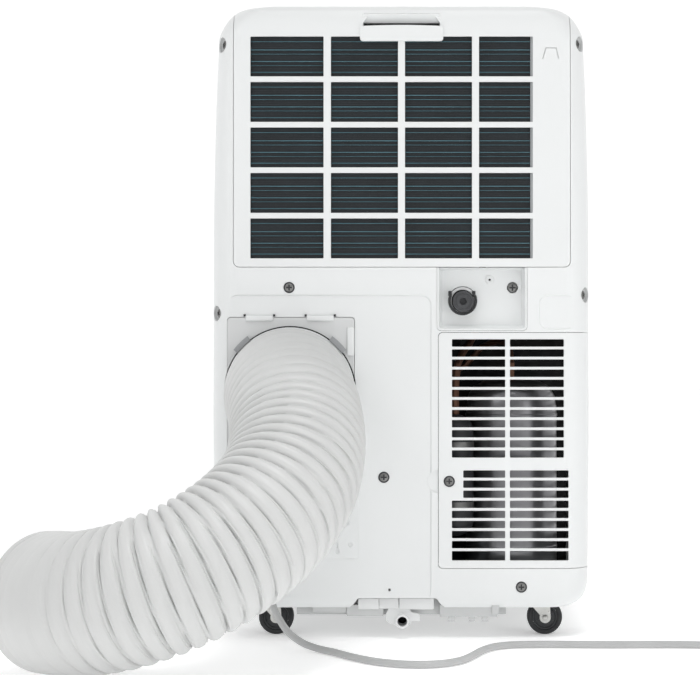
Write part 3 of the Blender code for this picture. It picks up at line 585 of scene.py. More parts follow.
# ---- Housing
def fine_sections():
    """The driving sections with smooth steps between them."""
    marks = [Vector(s) for s in SECTIONS]
    marks = [marks[0] * 2 - marks[1]] + marks + [marks[-1] * 2 - marks[-2]]
    rows = []
    for i in range(1, len(marks) - 2):
        steps = 1 if 3 < i < 6 else 4
        a, b, c, d = marks[i - 1:i + 3]
        for k in range(steps):
            t = k / steps
            m0 = (c - a) * (c.z - b.z) / (c.z - a.z)
            m1 = (d - b) * (c.z - b.z) / (d.z - b.z)
            p = (b * (2 * t ** 3 - 3 * t * t + 1) + m0 * (t ** 3 - 2 * t * t + t)
                + c * (3 * t * t - 2 * t ** 3) + m1 * (t ** 3 - t * t))
            rows.append((p.x, max(0.0, p.y) if i not in (4, 5, 6) else 0.0, p.z))
    return rows + [SECTIONS[-1]]


def housing(name, thickness=0.0):
    """Loft through the sections, moved inwards by thickness; the inner one runs out of the bottom."""
    bm = bmesh.new()
    rings = []
    corner_steps = 12
    for i, (half_x, inset_y, z) in enumerate(fine_sections()):
        if thickness:
            z = 0.01 if i == 0 else z - thickness * min(1.0, max(0.0, (z - CROWN_Z) / 0.014))
        r = PLAN_R - thickness
        x = half_x - thickness - r
        y0 = REAR_Y + inset_y + thickness + r
        y1 = FRONT_Y - inset_y - thickness - r
        ring = []
        for cx, cy, start in ((x, y1, 0), (-x, y1, 90), (-x, y0, 180), (x, y0, 270)):
            for k in range(corner_steps + 1):
                a = radians(start + 90 * k / corner_steps)
                ring.append(bm.verts.new((cx + r * cos(a), cy + r * sin(a), z)))
        rings.append(ring)
    for low, high in zip(rings, rings[1:]):
        for k in range(len(low)):
            j = (k + 1) % len(low)
            bm.faces.new((low[k], low[j], high[j], high[k]))
    bm.faces.new(list(reversed(rings[0])))
    bm.faces.new(rings[-1])
    return mesh_object(name, bm)


def wall_piece(name, region, *cuts):
    """The part of the housing's wall inside one region, with its own cuts."""
    return carve(housing(name), ("INTERSECT", region), housing("inside", WALL), *cuts)


def scoop_axis(side, z):
    """Middle of a side screw scoop on the rear corner, and the way that it faces."""
    out = Vector((0.86 * side, -0.51, 0)).normalized()
    half = 0.218 + (0.2245 - 0.218) * (0.714 - z) / 0.214 if z > 0.5 else 0.2248
    return Vector((side * (half - PLAN_R), REAR_Y + PLAN_R, z)) + out * PLAN_R, out


def cover_outline(grow):
    return rounded(COVER_LOW.x - grow, COVER_HIGH.x + grow, COVER_LOW.z - grow, ABOVE, 0.007 + grow,
        (1, 1, 0, 0))


def grille_outline(grow):
    return rounded(GRILLE_LOW.x - grow, FAR, GRILLE_LOW.z - grow, GRILLE_HIGH.z + grow, 0.005, (1, 0, 0, 1))


def screw_seat(name, depth=0.0024):
    x, _, z = centre(name)
    return drum(name + "_seat", (x, REAR_Y, z), 0.0068, depth, steps=32)


def make_rear_shell():
    cuts = [prism("cover_way", [cover_outline(SHUT)], -FAR, COVER_HIGH.y + SHUT),
        blocks("top_way", (*span("top_cover", SHUT)[:3], FAR, CROWN_Z, ABOVE)),
        prism("grille_way", [grille_outline(SHUT)], -FAR, GRILLE_HIGH.y + SHUT),
        prism("duct_way", [rounded(DUCT_LOW.x - SHUT, DUCT_HIGH.x + SHUT, DUCT_LOW.z + 0.05,
        DUCT_HIGH.z + SHUT, 0.004)], -FAR, INSIDE_Y),
        prism("pocket_way", [rounded(POCKET_LOW.x - 0.0003, POCKET_HIGH.x + 0.0003, POCKET_LOW.z - 0.0003,
        0.47, 0.005, (1, 1, 0, 0))], -FAR, INSIDE_Y),
        prism("left_recess", [rounded(-0.2102, 0.0388, 0.01, 0.4108, 0.012, (0, 0, 1, 1))],
        REAR_Y - 0.0032, REAR_Y + 0.0016, taper=0.004),
        prism("right_recess", [rounded(0.1608, 0.2112, 0.364, 0.4108, 0.01)], REAR_Y - 0.0032,
        REAR_Y + 0.0016, taper=0.004), drum("thumb_way", (GRILLE_LOW.x, REAR_Y, 0.187), 0.0138, 0.0044),
        prism("skirt_way", [[(-0.0605, 0.0), (0.0515, 0.0), (0.0515, 0.0375), (0.0475, 0.0405),
        (0.043, 0.047), (0.041, 0.0482), (-0.05, 0.0482), (-0.052, 0.047), (-0.0565, 0.0405),
        (-0.0605, 0.0375)]], -FAR, INSIDE_Y),
        drum("rim_way", (DUCT[0], REAR_Y, DUCT[1]), RIM_R, 0.03, steps=72),
        drum("gland_way", (GLAND[0], REAR_Y, GLAND[2]), 0.0078, 0.02),
        drum("dot_way", (-0.0137, REAR_Y, 0.0583), 0.0016, 0.02, steps=16)]
    cuts += [screw_seat("screw_band"), screw_seat("screw_base"), screw_seat("screw_middle", 0.0044)]
    for side, z in SCOOPS:
        at, out = scoop_axis(side, z)
        cuts.append(drum("scoop_way", at, 0.0093, 0.02, out, 32))
    rear = wall_piece("rear_housing", blocks("rear_region", (-FAR, FAR, -FAR, SPLIT_Y, 0, ABOVE)), *cuts)
    weigh(fit(rear, "white_housing", "housing", "rear_shell"))
    for k, (side, z) in enumerate(SCOOPS):
        at, out = scoop_axis(side, z)
        cup = [(0, -0.0075), (0.0103, -0.0075), (0.0103, -0.0016), (0.0092, -0.0016), (0.0086, -0.0046),
            (0.007, -0.0052), (0, -0.0054)]
        # The cup is white plastic; drawing it in the grey pan plastic paints the shade inside the scoop.
        fit(lathe("side_scoop_%d" % (k + 1), cup, at, out, 32), "grey_plastic", "housing",
            slot="white_inner")
        fit(cross_screw("side_screw_%d" % (k + 1), at - out * 0.005, out, SCREW_R), "screw_steel",
            "housing", slot="zinc_steel")


def cross_screw(name, at, out, radius):
    """Pan head with a cross recess; at is the seat and out points away from the wall."""
    head = [(0, -0.003), (radius * 0.45, -0.003), (radius * 0.45, 0.0), (radius, 0.0), (radius, 0.0007),
        (radius * 0.93, 0.0013), (radius * 0.7, 0.0019), (radius * 0.35, 0.0022), (0, 0.0023)]
    obj = lathe(name, head, (0, 0, 0), (0, 0, 1), 32)
    w, l = radius * 0.17, radius * 0.66
    carve(obj, blocks("cross_a", (-w, w, -l, l, 0.0002, 0.004)),
        blocks("cross_b", (-l, l, -w, w, 0.0003, 0.004)))
    turn = Vector((0, 0, 1)).rotation_difference(Vector(out)).to_matrix().to_4x4()
    obj.data.transform(Matrix.Translation(at) @ turn)
    return obj


def make_screws():
    depth = {"rear": REAR_Y + 0.0011, "recess": REAR_Y + 0.0021, "grille": REAR_Y + 0.0011,
        "pocket": POCKET_FLOOR_Y + 0.0002}
    for name, where in SCREWS.items():
        x, _, z = centre(name)
        at = (x, depth[where], z)
        radius = POCKET_SCREW_R if where == "pocket" else SCREW_R
        # Painted shade: a dark disc under the cross recess and a dark ring round the head stand for the
        # shadow in the recess and the seat.
        recess_shade = [(0, -0.0005), (radius * 0.7, -0.0005), (radius * 0.7, 0.0006), (0, 0.0006)]
        fit(lathe(name + "_recess_shade", recess_shade, at, BACK, 24), "rubber_dark", "housing", slot="zinc_steel")
        ring = [(0.004, -0.0002), (0.0066, -0.0002), (0.0066, 0.0002), (0.004, 0.0002)]
        fit(lathe(name + "_seat_shadow", ring, at, BACK, 32), "rubber_dark", "housing", slot="zinc_steel")
        fit(cross_screw(name + "_head", at, BACK, radius), "screw_steel", "housing", name,
            slot="zinc_steel")


def make_front_panel():
    ribs = [(-0.15, 0.15, FRONT_Y - 0.0012, FAR, 0.12 + 0.024 * k, 0.1225 + 0.024 * k) for k in range(5)]
    front = wall_piece("front_housing",
        blocks("front_region", (-FAR, FAR, SPLIT_Y + SHUT, FAR, 0, ABOVE)),
        blocks("front_top_way", (-0.17, 0.17, 0, 0.15, CROWN_Z, ABOVE)), blocks("front_grooves", *ribs),
        blocks("front_line", (-FAR, FAR, FRONT_Y - 0.0014, FAR, 0.619, 0.6206)))
    weigh(fit(front, "white_housing", "housing", "front_panel"))


# ---- Filter cover and filter
def make_filter_cover():
    rows = [CELL_Z0 + CELL_PITCH * k for k in range(CELL_ROWS)]
    cells = [rounded(*x, z, z + CELL_H, 0.0007, steps=3) for x in CELL_X for z in rows]
    latch = [[(0.1674, 0.6875), (0.1684, 0.6875), (0.1723, 0.7008), (0.1713, 0.7008)],
        [(0.1713, 0.7), (0.1841, 0.7), (0.1841, 0.7009), (0.1713, 0.7009)],
        [(0.1831, 0.7008), (0.1862, 0.6875), (0.1872, 0.6875), (0.1841, 0.7008)]]
    pocket = [(-0.0447, 0.7262), (0.046, 0.7262), (0.046, 0.7308), (0.0392, 0.7396), (0.037, 0.741),
        (-0.0357, 0.741), (-0.0379, 0.7396), (-0.0447, 0.7308)]
    cover = wall_piece("filter_door_cover", prism("cover_region", [cover_outline(0)], -FAR, COVER_HIGH.y),
        prism("cell_cuts", cells, -FAR, -0.175), prism("latch_side_a", latch[:1], -FAR, REAR_Y + 0.0016),
        prism("latch_top", latch[1:2], -FAR, REAR_Y + 0.0017),
        prism("latch_side_b", latch[2:], -FAR, REAR_Y + 0.0015),
        prism("finger_way", [pocket], -FAR, -0.178))
    weigh(fit(cover, "white_housing", "filter_door", "filter_cover"))

    tab = rounded(-0.0486, 0.05, 0.7084, 0.7262, 0.0035, (1, 1, 0, 0))
    arch = [(0.05 - 0.0986 * k / 16, 0.7262 + 0.0012 * sin(pi * k / 16)) for k in range(17)]
    pull = prism("filter_pull_tab", [tab[:-2] + arch], -0.1874, -0.183, round_by=0.0006)
    fit(pull, "white_housing", "filter_door")
    # A dark sheet behind the finger slot paints the shade inside it.
    shade = blocks("finger_slot_shade", (-0.044, 0.045, -0.1786, -0.1766, 0.7255, 0.7306))
    fit(shade, "painted_shade_dark", "filter_door", slot="dark_filter")

    slope = [(0.7409, -0.1847), (0.7304, -0.1772), (0.7304, -0.1752), (0.734, -0.1775), (0.7418, -0.1822)]
    bm = bmesh.new()
    ends = [[bm.verts.new((x, y, z)) for z, y in slope] for x in (-0.0453, 0.0466)]
    fit(loft("finger_pocket", bm, ends), "white_housing", "filter_door", degrees=20)


def make_filter():
    low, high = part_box("air_filter")
    sheet = blocks("filter_screen", (low.x, high.x, low.y + 0.0014, high.y, low.z, high.z))
    fit(sheet, "dark_filter", "filter_door", "air_filter")
    ribs = []
    threads = []
    for z in (CELL_Z0 + CELL_PITCH * k for k in range(CELL_ROWS)):
        for share, tall in ((0.1, 0.9), (0.275, 0.55), (0.37, 1.0), (0.56, 0.6), (0.66, 1.0), (0.87, 0.8)):
            ribs.append((low.x + 0.002, high.x - 0.004, low.y - 0.0004, low.y + 0.002, z + CELL_H * share,
                z + CELL_H * share + 0.0011 * tall))
        for k in range(17):
            threads.append((low.x + 0.001, high.x - 0.003, low.y + 0.0007, low.y + 0.0018,
                z + 0.001 + 0.0028 * k, z + 0.0019 + 0.0028 * k))
    fit(blocks("filter_threads", *threads), "dark_filter", "filter_door")
    # The ribs are dark filter stuff; their lighter teal colour paints the highlights along them.
    fit(blocks("filter_ribs_painted_highlight", *ribs, round_by=0.0002, segments=1), "rib_highlight", "filter_door",
        slot="dark_filter")
    strip = blocks("filter_frame_edge", (0.1534, 0.1575, low.y - 0.0012, low.y + 0.002, 0.449, 0.718),
        round_by=0.0004)
    fit(strip, "button_grey", "filter_door", slot="dark_filter")


# ---- Condenser grille and what shows behind it
def make_grille():
    slots = []
    for first, rows in SLOT_BLOCKS:
        lower = first == SLOT_BLOCKS[1][0]
        for row in range(rows):
            top = first - row * SLOT_PITCH
            height = LAST_SLOT_H if lower and row == rows - 1 else SLOT_H
            left = SHORT_SLOT_X0 if lower and row < 3 else SLOT_X[0][0]
            right = LOWER_SLOT_X1 if lower else SLOT_X[1][1]
            slots.append(rounded(left, SLOT_X[0][1], top - height, top, 0.001, steps=3))
            slots.append(rounded(SLOT_X[1][0], right, top - height, top, 0.001, steps=3))
    side = []
    for row in range(SIDE_ROWS):
        z = SLOT_BLOCKS[0][0] - 0.004 - row * SIDE_SLOT_PITCH
        side.append((0.21, FAR, -0.145, -0.045, z - SIDE_SLOT_H, z))
    grille = wall_piece("rear_grille", prism("grille_region", [grille_outline(0)], -FAR, GRILLE_HIGH.y),
        prism("slot_cuts", slots, -FAR, -0.165), blocks("side_slot_cuts", *side),
        screw_seat("screw_grille"))
    weigh(fit(grille, "white_housing", "housing", "condenser_grille"))

    # Dark sheets on the compartment's front wall and ceiling paint the shade seen through the grille slots.
    shade_sheets = blocks("compartment_shade_sheets", (0.044, 0.208, -0.033, -0.029, 0.072, 0.418),
        (0.044, 0.208, -0.176, -0.0335, 0.3643, 0.3668), round_by=0.001, segments=1)
    fit(shade_sheets, "painted_shade_dark", "housing", slot="duct_foam")


def make_compressor():
    x, y = COMPRESSOR
    shell = [(0, 0.064), (0.044, 0.064), (0.05, 0.068), (0.0548, 0.076), (0.0556, 0.082), (0.0556, 0.1),
        (0.0563, 0.101), (0.0563, 0.1035), (0.0556, 0.1045), (0.0556, 0.26), (0.0563, 0.261),
        (0.0563, 0.264), (0.0556, 0.265), (0.0552, 0.274), (0.053, 0.286), (0.047, 0.2965),
        (0.036, 0.303), (0.02, 0.3065), (0, 0.3075)]
    fit(lathe("compressor_shell", shell, (x, y, 0), steps=64), "compressor_black", "housing",
        "compressor")
    feet = blocks("compressor_feet", (x - 0.057, x + 0.057, y - 0.057, y + 0.057, 0.056, 0.059),
        round_by=0.001)
    fit(feet, "zinc_steel", "housing")
    cx, cy, _ = centre("accumulator")
    can = [(0, 0.118), (0.006, 0.118), (0.012, 0.121), (0.0185, 0.127), (0.0215, 0.134), (0.0215, 0.248),
        (0.0185, 0.255), (0.012, 0.261), (0.006, 0.264), (0, 0.264)]
    fit(lathe("accumulator_can", can, (cx, cy, 0), steps=40), "fan_plastic", "housing", "accumulator",
        slot="compressor_black")
    strap = [(0.0216, 0.0), (0.0222, 0.0), (0.0222, 0.01), (0.0216, 0.01)]
    # The zinc straps are drawn in the darker screw steel: painted shade inside the compressor compartment.
    for k, z in enumerate((0.15, 0.222)):
        fit(lathe("accumulator_strap_%d" % (k + 1), strap, (cx, cy, z), steps=40), "screw_steel",
            "housing", slot="zinc_steel")


# ---- Exhaust outlet and hose
def make_outlet_plate():
    x, z = DUCT
    hole = drum("rim_way", (x, -0.183, z), RIM_R, 0.03, steps=72)
    plate = prism("duct_plate", [rounded(DUCT_LOW.x, DUCT_HIGH.x, 0.231, DUCT_HIGH.z, 0.004)], -0.1858,
        -0.1822, round_by=0.0006)
    carve(plate, hole)
    fit(plate, "plate_grey", "housing", "duct_panel", slot="white_inner")

    holes = [(-0.064, 0.1375), (-0.06, 0.112), (-0.0755, 0.104), (-0.091, 0.112), (-0.099, 0.126),
        (-0.086, 0.133), (-0.115, 0.112), (-0.131, 0.104)]
    slits = [[(px - 0.0009, pz + 0.0045), (px + 0.0009, pz + 0.0045), (px + 0.0009, pz + 0.0105),
        (px - 0.0009, pz + 0.0105)] for px, pz in holes[2:]]
    vents = [[(px + 0.0026 * cos(tau * k / 20), pz + 0.0026 * sin(tau * k / 20)) for k in range(20)]
        for px, pz in holes]
    panel = prism("vent_panel", [rounded(DUCT_LOW.x, -0.05, DUCT_LOW.z, 0.24, 0.005)], -0.1848, -0.1822,
        round_by=0.0005)
    carve(panel, drum("rim_way_low", (x, -0.183, z), RIM_R, 0.03, steps=72),
        prism("vent_cuts", vents + slits, -FAR, INSIDE_Y))
    fit(panel, "white_housing", "housing")

    tabs = blocks("plate_tabs", (-0.184, -0.1515, -0.1882, -0.1845, 0.377, 0.3835),
        (-0.1117, -0.0796, -0.1882, -0.1845, 0.377, 0.3835),
        (-0.0637, -0.0553, -0.1886, -0.1845, 0.336, 0.3694), round_by=0.0009)
    fit(tabs, "white_housing", "housing")
    # Small black blocks at the tab ends paint the shade in their relief cuts.
    ends = blocks("tab_relief_shades", *[(tx - 0.0013, tx + 0.0013, -0.1863, -0.185, 0.3822, 0.385)
        for tx in (-0.1852, -0.1503, -0.1129, -0.0784)])
    fit(ends, "fan_plastic", "housing")

    # The gasket ring in the gap round the hose connector is drawn near-black: painted shade in that gap.
    gasket_shade_profile = [(0.0745, 0.0), (0.0784, 0.0), (0.0784, 0.0025), (0.0745, 0.0025)]
    fit(lathe("rim_gasket_shade", gasket_shade_profile, (x, -0.1766, z), BACK, 72), "painted_shade_dark", "housing", slot="duct_foam")
    collar = [(0.064, 0.0), (0.069, 0.0), (0.069, 0.0098), (0.0765, 0.01), (0.077, 0.0108),
        (0.077, 0.0124), (0.0763, 0.013), (0.0665, 0.0132), (0.0665, 0.0185), (0.064, 0.0185)]
    fit(lathe("hose_connector", collar, (x, -0.1755, z), BACK, 96), "white_inner", "housing",
        "hose_adapter")
    for k, middle in enumerate((45, 135)):
        bm = bmesh.new()
        rows = []
        for n in range(7):
            a = radians(middle - 8 + 16 * n / 6)
            rows.append([bm.verts.new((x + r * cos(a), y, z + r * sin(a))) for r,
                y in ((0.0772, -0.1856), (0.0835, -0.1856), (0.0835, -0.1895), (0.0772, -0.19))])
        fit(loft("bayonet_lug_%d" % (k + 1), bm, rows), "button_grey", "housing", slot="grey_plastic")


def make_hose():
    line = smooth_path(HOSE_PATH, 0.001)
    total = sum((b - a).length for a, b in zip(line, line[1:]))

    def fade(run, start, end):
        t = min(1.0, max(0.0, (run - start) / (end - start)))
        return t * t * (3 - 2 * t)

    def skin(run, angle, curl):
        """Wound film: broad crests with a narrow fold between them, deeper inside a bend."""
        turn = (run / HOSE_PITCH + angle / tau) % 1.0
        crest = sin(pi * turn ** 1.3) ** 0.52
        depth = FOLD_LEAST + FOLD_MORE * fade(run, 0.05, 0.25)
        depth *= 1.0 - 0.92 * fade(run, total - 0.13, total - 0.035)
        depth *= min(1.35, max(0.45, 1.0 + 0.06 * curl))
        return HOSE_R + 0.0004 - depth * (1.0 - crest)

    hose = swept("corrugated_hose", line, skin, 96)
    wall = hose.modifiers.new("film", "SOLIDIFY")
    wall.thickness = 0.0012
    wall.offset = -1.0
    fit(hose, "hose_plastic", "housing", "exhaust_hose", degrees=70)
    sleeve = [(0.0675, -0.03), (0.07, -0.03), (0.0738, -0.0005), (0.0752, 0.0006), (0.0758, 0.0016),
        (0.0758, 0.0112), (0.0752, 0.0119), (0.0744, 0.012), (0.0682, 0.012), (0.0675, 0.0112)]
    end = HOSE_PATH[-1]
    fit(lathe("hose_end_cuff", sleeve, end, line[-1] - line[-3], 96), "hose_plastic", "housing",
        "hose_cuff")


# ---- Drains and base
def make_drains():
    x, z = DRAIN
    low, high = POCKET_LOW, POCKET_HIGH
    outside = prism("drain_recess", [rounded(low.x, high.x, low.z, high.z, 0.005, (1, 1, 0, 0))], REAR_Y,
        POCKET_FLOOR_Y + 0.0024)
    inside = prism("recess_way", [rounded(low.x + 0.0012, high.x - 0.0012, low.z + 0.0012, high.z + 0.002,
        0.004, (1, 1, 0, 0))], REAR_Y - 0.006, POCKET_FLOOR_Y, taper=0.0046)
    carve(outside, inside, drum("stub_way", (x, POCKET_FLOOR_Y, z), 0.0173, 0.02, steps=48))
    fit(outside, "white_housing", "housing", "drain_pocket")
    boss = [(0.0014, 0.0), (0.0055, 0.0), (0.005, 0.0016), (0.0022, 0.0019), (0.0014, 0.0014)]
    fit(lathe("pocket_boss", boss, (0.1058, POCKET_FLOOR_Y + 0.0002, 0.4261), BACK, 32), "white_inner",
        "housing")
    # A dark disc in the boss's hole paints the shade inside it.
    fit(drum("boss_bore_shade", (0.1058, POCKET_FLOOR_Y - 0.0004, 0.4261), 0.0013, 0.0008, steps=16),
        "tyre_dark", "housing", slot="rubber_dark")
    stub = [(0.0133, 0.0), (0.0133, 0.03), (0.0162, 0.03), (0.0165, 0.029), (0.0165, 0.001), (0.016, 0.0)]
    fit(lathe("upper_drain_stub", stub, (x, -0.17, z), (0, 1, 0), 48), "white_inner", "housing",
        "drain_stub")

    # A dark C round the plug, open at the top where the white stub shows, with its ends carried up: painted
    # shadow in the lower part of the pocket's hole.
    sweep = [radians(157 + 226 * k / 24) for k in range(25)]
    ring = [(x + r * cos(a), z + r * sin(a)) for r,
        way in ((0.0172, sweep), (0.0142, sweep[::-1])) for a in way]
    hole_shadow = prism("drain_hole_shadow", [ring], -0.1752, -0.1702, round_by=0.0003)
    fit(hole_shadow, "tyre_dark", "drain_plug", slot="rubber_dark")
    shadow_ends = blocks("drain_hole_shadow_ends", (x - 0.0172, x - 0.0132, -0.1756, -0.1702, z + 0.0055, z + 0.0118),
        (x + 0.0112, x + 0.0152, -0.1756, -0.1702, z + 0.0055, z + 0.0118), round_by=0.0008)
    fit(shadow_ends, "tyre_dark", "drain_plug", slot="rubber_dark")
    face = [(0, -0.018), (0.01, -0.018), (0.0118, -0.014), (0.0126, -0.01), (0.0126, 0.024),
        (0.0128, 0.0255), (0.0122, 0.0265), (0.0104, 0.027), (0.0098, 0.0263), (0.0086, 0.0263),
        (0.0078, 0.0268), (0, 0.0268)]
    knob = lathe("drain_plug_cap", face, (x + 0.0004, -0.151, z - 0.0008), BACK, 48)
    carve(knob, drum("plug_hex", (x + 0.0004, -0.1778, z - 0.0008), 0.0047, 0.009, steps=6))
    fit(knob, "rubber_dark", "drain_plug", "drain_plug")

    sx, sz = centre("lower_drain_spout")[0], SPOUT_Z
    spout = [(0.0058, 0.0), (0.0058, 0.048), (0.008, 0.048), (0.0083, 0.0472), (0.0083, 0.04),
        (0.0079, 0.0395), (0.0079, 0.038), (0.0083, 0.0375), (0.0083, 0.0342), (0.0096, 0.0338),
        (0.01, 0.033), (0.01, 0.03), (0.0083, 0.029), (0.0083, 0.0)]
    fit(lathe("drain_outlet_pipe", spout, (sx, -0.141, sz), BACK, 40), "white_inner", "housing",
        "lower_drain_spout")
    fit(drum("outlet_bore_shade", (sx, -0.16, sz), 0.0057, 0.004), "painted_shade_dark", "housing",
        slot="rubber_dark")
    bracket = prism("drain_outlet_bracket",
        [[(-0.0178, 0.029), (-0.0178, 0.0215), (-0.015, 0.019), (-0.011, 0.0165), (0.004, 0.016),
        (0.0115, 0.0165), (0.012, 0.0205), (0.0222, 0.0205), (0.0222, 0.029), (0.0125, 0.031),
        (0.009, 0.037), (0.0035, 0.0395), (-0.0105, 0.0395), (-0.0145, 0.036)]], -0.1782, -0.1745,
        round_by=0.0005)
    carve(bracket, drum("pipe_way", (sx, -0.176, sz), 0.008, 0.02))
    fit(bracket, "white_inner", "housing")


def make_base():
    slabs = ((-0.105, -0.0652, -0.179, 0.031), (-0.0648, -0.021, -0.179, 0.0262),
        (0.046, 0.1145, -0.179, 0.0255), (0.1075, 0.1165, -0.1812, 0.029))
    slabs = blocks("pan_rear_slabs", *[(x0, x1, y, -0.1722, z, 0.04) for x0, x1, y, z in slabs],
        round_by=0.0008)
    fit(slabs, "grey_plastic", "housing")
    feet = blocks("pan_rear_feet",
        *[(fx, fx + 0.0076, -0.1785, -0.17, 0.02, 0.03) for fx in (0.056, 0.0805, 0.096)],
        round_by=0.0008)
    fit(feet, "grey_plastic", "housing")
    rails = ((-0.0511, -0.0263, -0.1806, 0.0345), (-0.0262, -0.0027, -0.1794, 0.0352),
        (-0.0022, 0.0392, -0.1806, 0.0345))
    rails = blocks("pan_white_rails", *[(x0, x1, y, -0.1745, z, 0.0478) for x0, x1, y, z in rails],
        round_by=0.0014)
    fit(rails, "white_inner", "housing")


def make_caster(tag):
    low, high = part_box("caster_wheel_" + tag)
    x, y, _ = centre("caster_wheel_" + tag)
    r, w = (high.z - low.z) / 2, (high.y - low.y) / 2
    swivel_x = x - 0.011
    fork_top, outer, inner = 0.0478, 0.0134, 0.0118
    tyre = [(0.0158, w), (0.0185, w), (0.0203, w - 0.0012), (r, w - 0.0035), (r, 0.0006),
        (r - 0.0005, 0.0), (r, -0.0006), (r, 0.0035 - w), (0.0203, 0.0012 - w), (0.0185, -w),
        (0.0158, -w), (0.0152, -w + 0.001), (0.0152, w - 0.001)]
    fit(lathe("tyre_" + tag, tyre, (x, y, r), (0, 1, 0), 64), "tyre_dark", "wheel_" + tag,
        "caster_wheel_" + tag)
    hub = [(0.0034, w), (0.0052, w), (0.0056, w - 0.0016), (0.012, w - 0.0026), (0.0132, w - 0.001),
        (0.015, w - 0.0012), (0.015, 0.0012 - w), (0.0132, 0.001 - w), (0.012, 0.0026 - w),
        (0.0056, 0.0016 - w), (0.0052, -w), (0.0034, -w)]
    fit(lathe("hub_" + tag, hub, (x, y, r), (0, 1, 0), 48), "fan_plastic", "wheel_" + tag, slot="tyre_dark")
    for k in range(6):
        a = tau * k / 6
        spoke = blocks("spoke_%s_%d" % (tag, k + 1),
            (-0.0009, 0.0009, -w + 0.0014, w - 0.0014, 0.0055, 0.0125))
        spoke.data.transform(Matrix.Translation((x, y, r)) @ Matrix.Rotation(a, 4, "Y"))
        fit(spoke, "fan_plastic", "wheel_" + tag, slot="tyre_dark")

    leg = [(swivel_x - 0.009, fork_top), (swivel_x - 0.0094, 0.04), (x - 0.0062, r + 0.003)]
    leg += [(x + 0.0066 * cos(radians(a)), r + 0.0066 * sin(radians(a))) for a in range(170, 376, 15)]
    leg += [(x + 0.0056, 0.04), (x + 0.0054, fork_top)]
    for k, (y0, y1) in enumerate(((y - outer, y - inner), (y + inner, y + outer))):
        fit(prism("fork_leg_%s_%d" % (tag, k + 1), [leg], y0, y1, round_by=0.0003), "zinc_steel",
            "fork_" + tag)
    crown = blocks("fork_crown_" + tag,
        (swivel_x - 0.009, x + 0.0054, y - outer, y + outer, 0.0458, fork_top), round_by=0.0006)
    fit(crown, "zinc_steel", "fork_" + tag, "caster_fork_" + tag)
    race = [(0, 0.0), (0.0098, 0.0), (0.0104, 0.0008), (0.0104, 0.0022), (0.009, 0.0034), (0, 0.0034)]
    fit(lathe("swivel_race_" + tag, race, (swivel_x, y, 0.0479), steps=40), "zinc_steel", "fork_" + tag)
    axle = [(0, -0.0162), (0.0018, -0.016), (0.003, -0.0152), (0.0035, -0.0142), (0.0035, -0.0136),
        (0.0029, -0.0136), (0.0029, 0.0136), (0.0035, 0.0136), (0.0035, 0.0142), (0.003, 0.0152),
        (0.0018, 0.016), (0, 0.0162)]
    fit(lathe("axle_" + tag, axle, (x, y, r), (0, 1, 0), 28), "zinc_steel", "fork_" + tag)


# ---- Top outlet and controls
def make_top():
    flap_low, flap_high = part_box("outlet_flap")
    top = wall_piece("top_housing", blocks("top_region", (*span("top_cover")[:4], CROWN_Z, ABOVE)),
        blocks("flap_way", (*span("outlet_flap", 0.0012)[:4], 0.73, ABOVE)),
        blocks("face_way", (*span("control_panel", SHUT)[:4], 0.73, ABOVE)))
    weigh(fit(top, "white_housing", "housing", "top_cover"))
    flap = blocks("air_flap", span("outlet_flap"), round_by=0.0009, segments=3)
    groove = [(flap_low.x + 0.006, flap_high.x - 0.006, y, y + 0.001, flap_high.z - 0.0005,
        flap_high.z + 0.002) for y in (flap_low.y + 0.014 + 0.012 * k for k in range(5))]
    carve(flap, blocks("flap_grooves", *groove))
    fit(flap, "white_housing", "outlet_flap", "outlet_flap")
    for k in range(1, 5):
        name = "vane_%d" % k
        at = centre(name)
        blade = prism("air_vane_%d" % k, [rounded(-0.036, 0.036, -0.014, 0.014, 0.004)], -0.0008, 0.0008,
            round_by=0.0003)
        blade.data.transform(Matrix.Translation(at) @ Matrix.Rotation(pi / 2, 4, "Z"))
        fit(blade, "white_inner", name, name)
        pin = lathe("vane_pin_%d" % k, [(0, -0.0386), (0.0018, -0.0386), (0.0018, 0.0386), (0, 0.0386)],
            at, (0, 1, 0), 16)
        fit(pin, "white_inner", name)


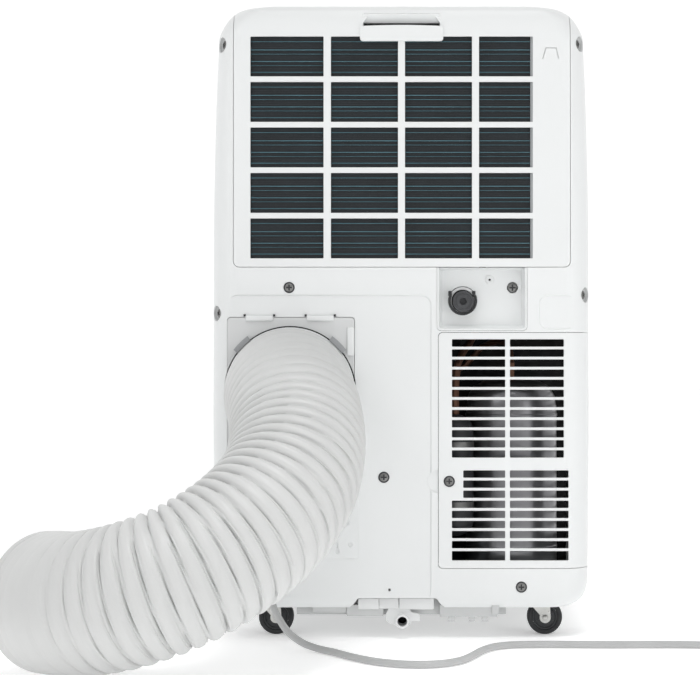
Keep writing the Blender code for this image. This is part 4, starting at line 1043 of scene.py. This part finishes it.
def make_controls():
    low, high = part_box("control_panel")
    seat_low, seat_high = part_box("display_lens")
    face = prism("control_face", [rounded(low.x, high.x, low.y, high.y, 0.006)], -high.z, -low.z,
        round_by=0.0006)
    face.data.transform(Matrix.Rotation(-pi / 2, 4, "X"))
    wells = [drum("well", (*centre("button_%d" % k)[:2], high.z), WELL_R, 2 * WELL_DEPTH, (0, 0, 1))
        for k in range(1, 5)]
    carve(face, blocks("lens_seat", (*span("display_lens", SHUT)[:4], seat_low.z - 0.0003, ABOVE)), *wells)
    fit(face, "control_dark", "housing", "control_panel", degrees=40)
    lens = blocks("display_window", span("display_lens"), round_by=0.0006)
    fit(lens, "display_black", "housing", "display_lens")
    strokes = {"2": "abged", "4": "fgbc"}
    for k, digit in enumerate("24"):
        cx, cy, w, h = -0.0062 + 0.0124 * k, (seat_low.y + seat_high.y) / 2, 0.0034, 0.0062
        segments = {"a": (-w, w, h, h), "d": (-w, w, -h, -h), "g": (-w, w, 0, 0), "f": (-w, -w, 0, h),
            "b": (w, w, 0, h), "e": (-w, -w, -h, 0), "c": (w, w, -h, 0)}
        bars = [(cx + x0 - 0.0006, cx + x1 + 0.0006, cy + y0 - 0.0006, cy + y1 + 0.0006, seat_high.z,
            seat_high.z + 0.00015) for x0, x1, y0, y1 in (segments[s] for s in strokes[digit])]
        fit(blocks("display_digit_%d" % (k + 1), *bars), "legend_white", "housing", slot="display_black")
    for k in range(1, 5):
        name = "button_%d" % k
        a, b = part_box(name)
        x, y, _ = centre(name)
        cap = [(0, a.z), (0.0074, a.z), (0.0074, b.z - 0.0012), (0.0071, b.z - 0.0004), (0.0064, b.z),
            (0.005, b.z - 0.0002), (0, b.z - 0.0005)]
        fit(lathe("button_cap_%d" % k, cap, (x, y, 0), steps=40), "button_grey", name, name,
            slot="grey_plastic")
        dot = lathe("button_mark_%d" % k,
            [(0, b.z - 0.0005), (0.0011, b.z - 0.0005), (0.0011, b.z - 0.0003), (0, b.z - 0.0003)],
            (x, y, 0), steps=20)
        fit(dot, "legend_white", name, slot="grey_plastic")


# ---- CAD nodes that stay, with their own finishes
KEPT = {"intake_bezel": "fan_plastic", "evaporator_coil": "aluminium_fins",
    "evaporator_scroll": "duct_foam", "evaporator_motor": "zinc_steel", "evaporator_fan": "fan_plastic",
    "drip_tray": "white_inner", "condenser_coil": "aluminium_fins", "condenser_scroll": "duct_foam",
    "condenser_motor": "zinc_steel", "condenser_fan": "fan_plastic", "suction_pipe": "copper",
    "discharge_pipe": "copper", "electrics_box": "grey_plastic", "base_pan": "grey_plastic",
    "outlet_duct": "white_inner", "control_board": "board_green"}


def dress_frame():
    for name, finish in KEPT.items():
        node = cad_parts[name]
        node.data.materials.clear()
        node.data.materials.append(FINISH[finish])


FINISH = make_materials()
make_stage()
make_cord()
make_rear_shell()
make_screws()
make_front_panel()
make_filter_cover()
make_filter()
make_grille()
make_compressor()
make_outlet_plate()
make_hose()
make_drains()
make_base()
for caster in ("rear_left", "rear_right", "front_left", "front_right"):
    make_caster(caster)
make_top()
make_controls()
dress_frame()
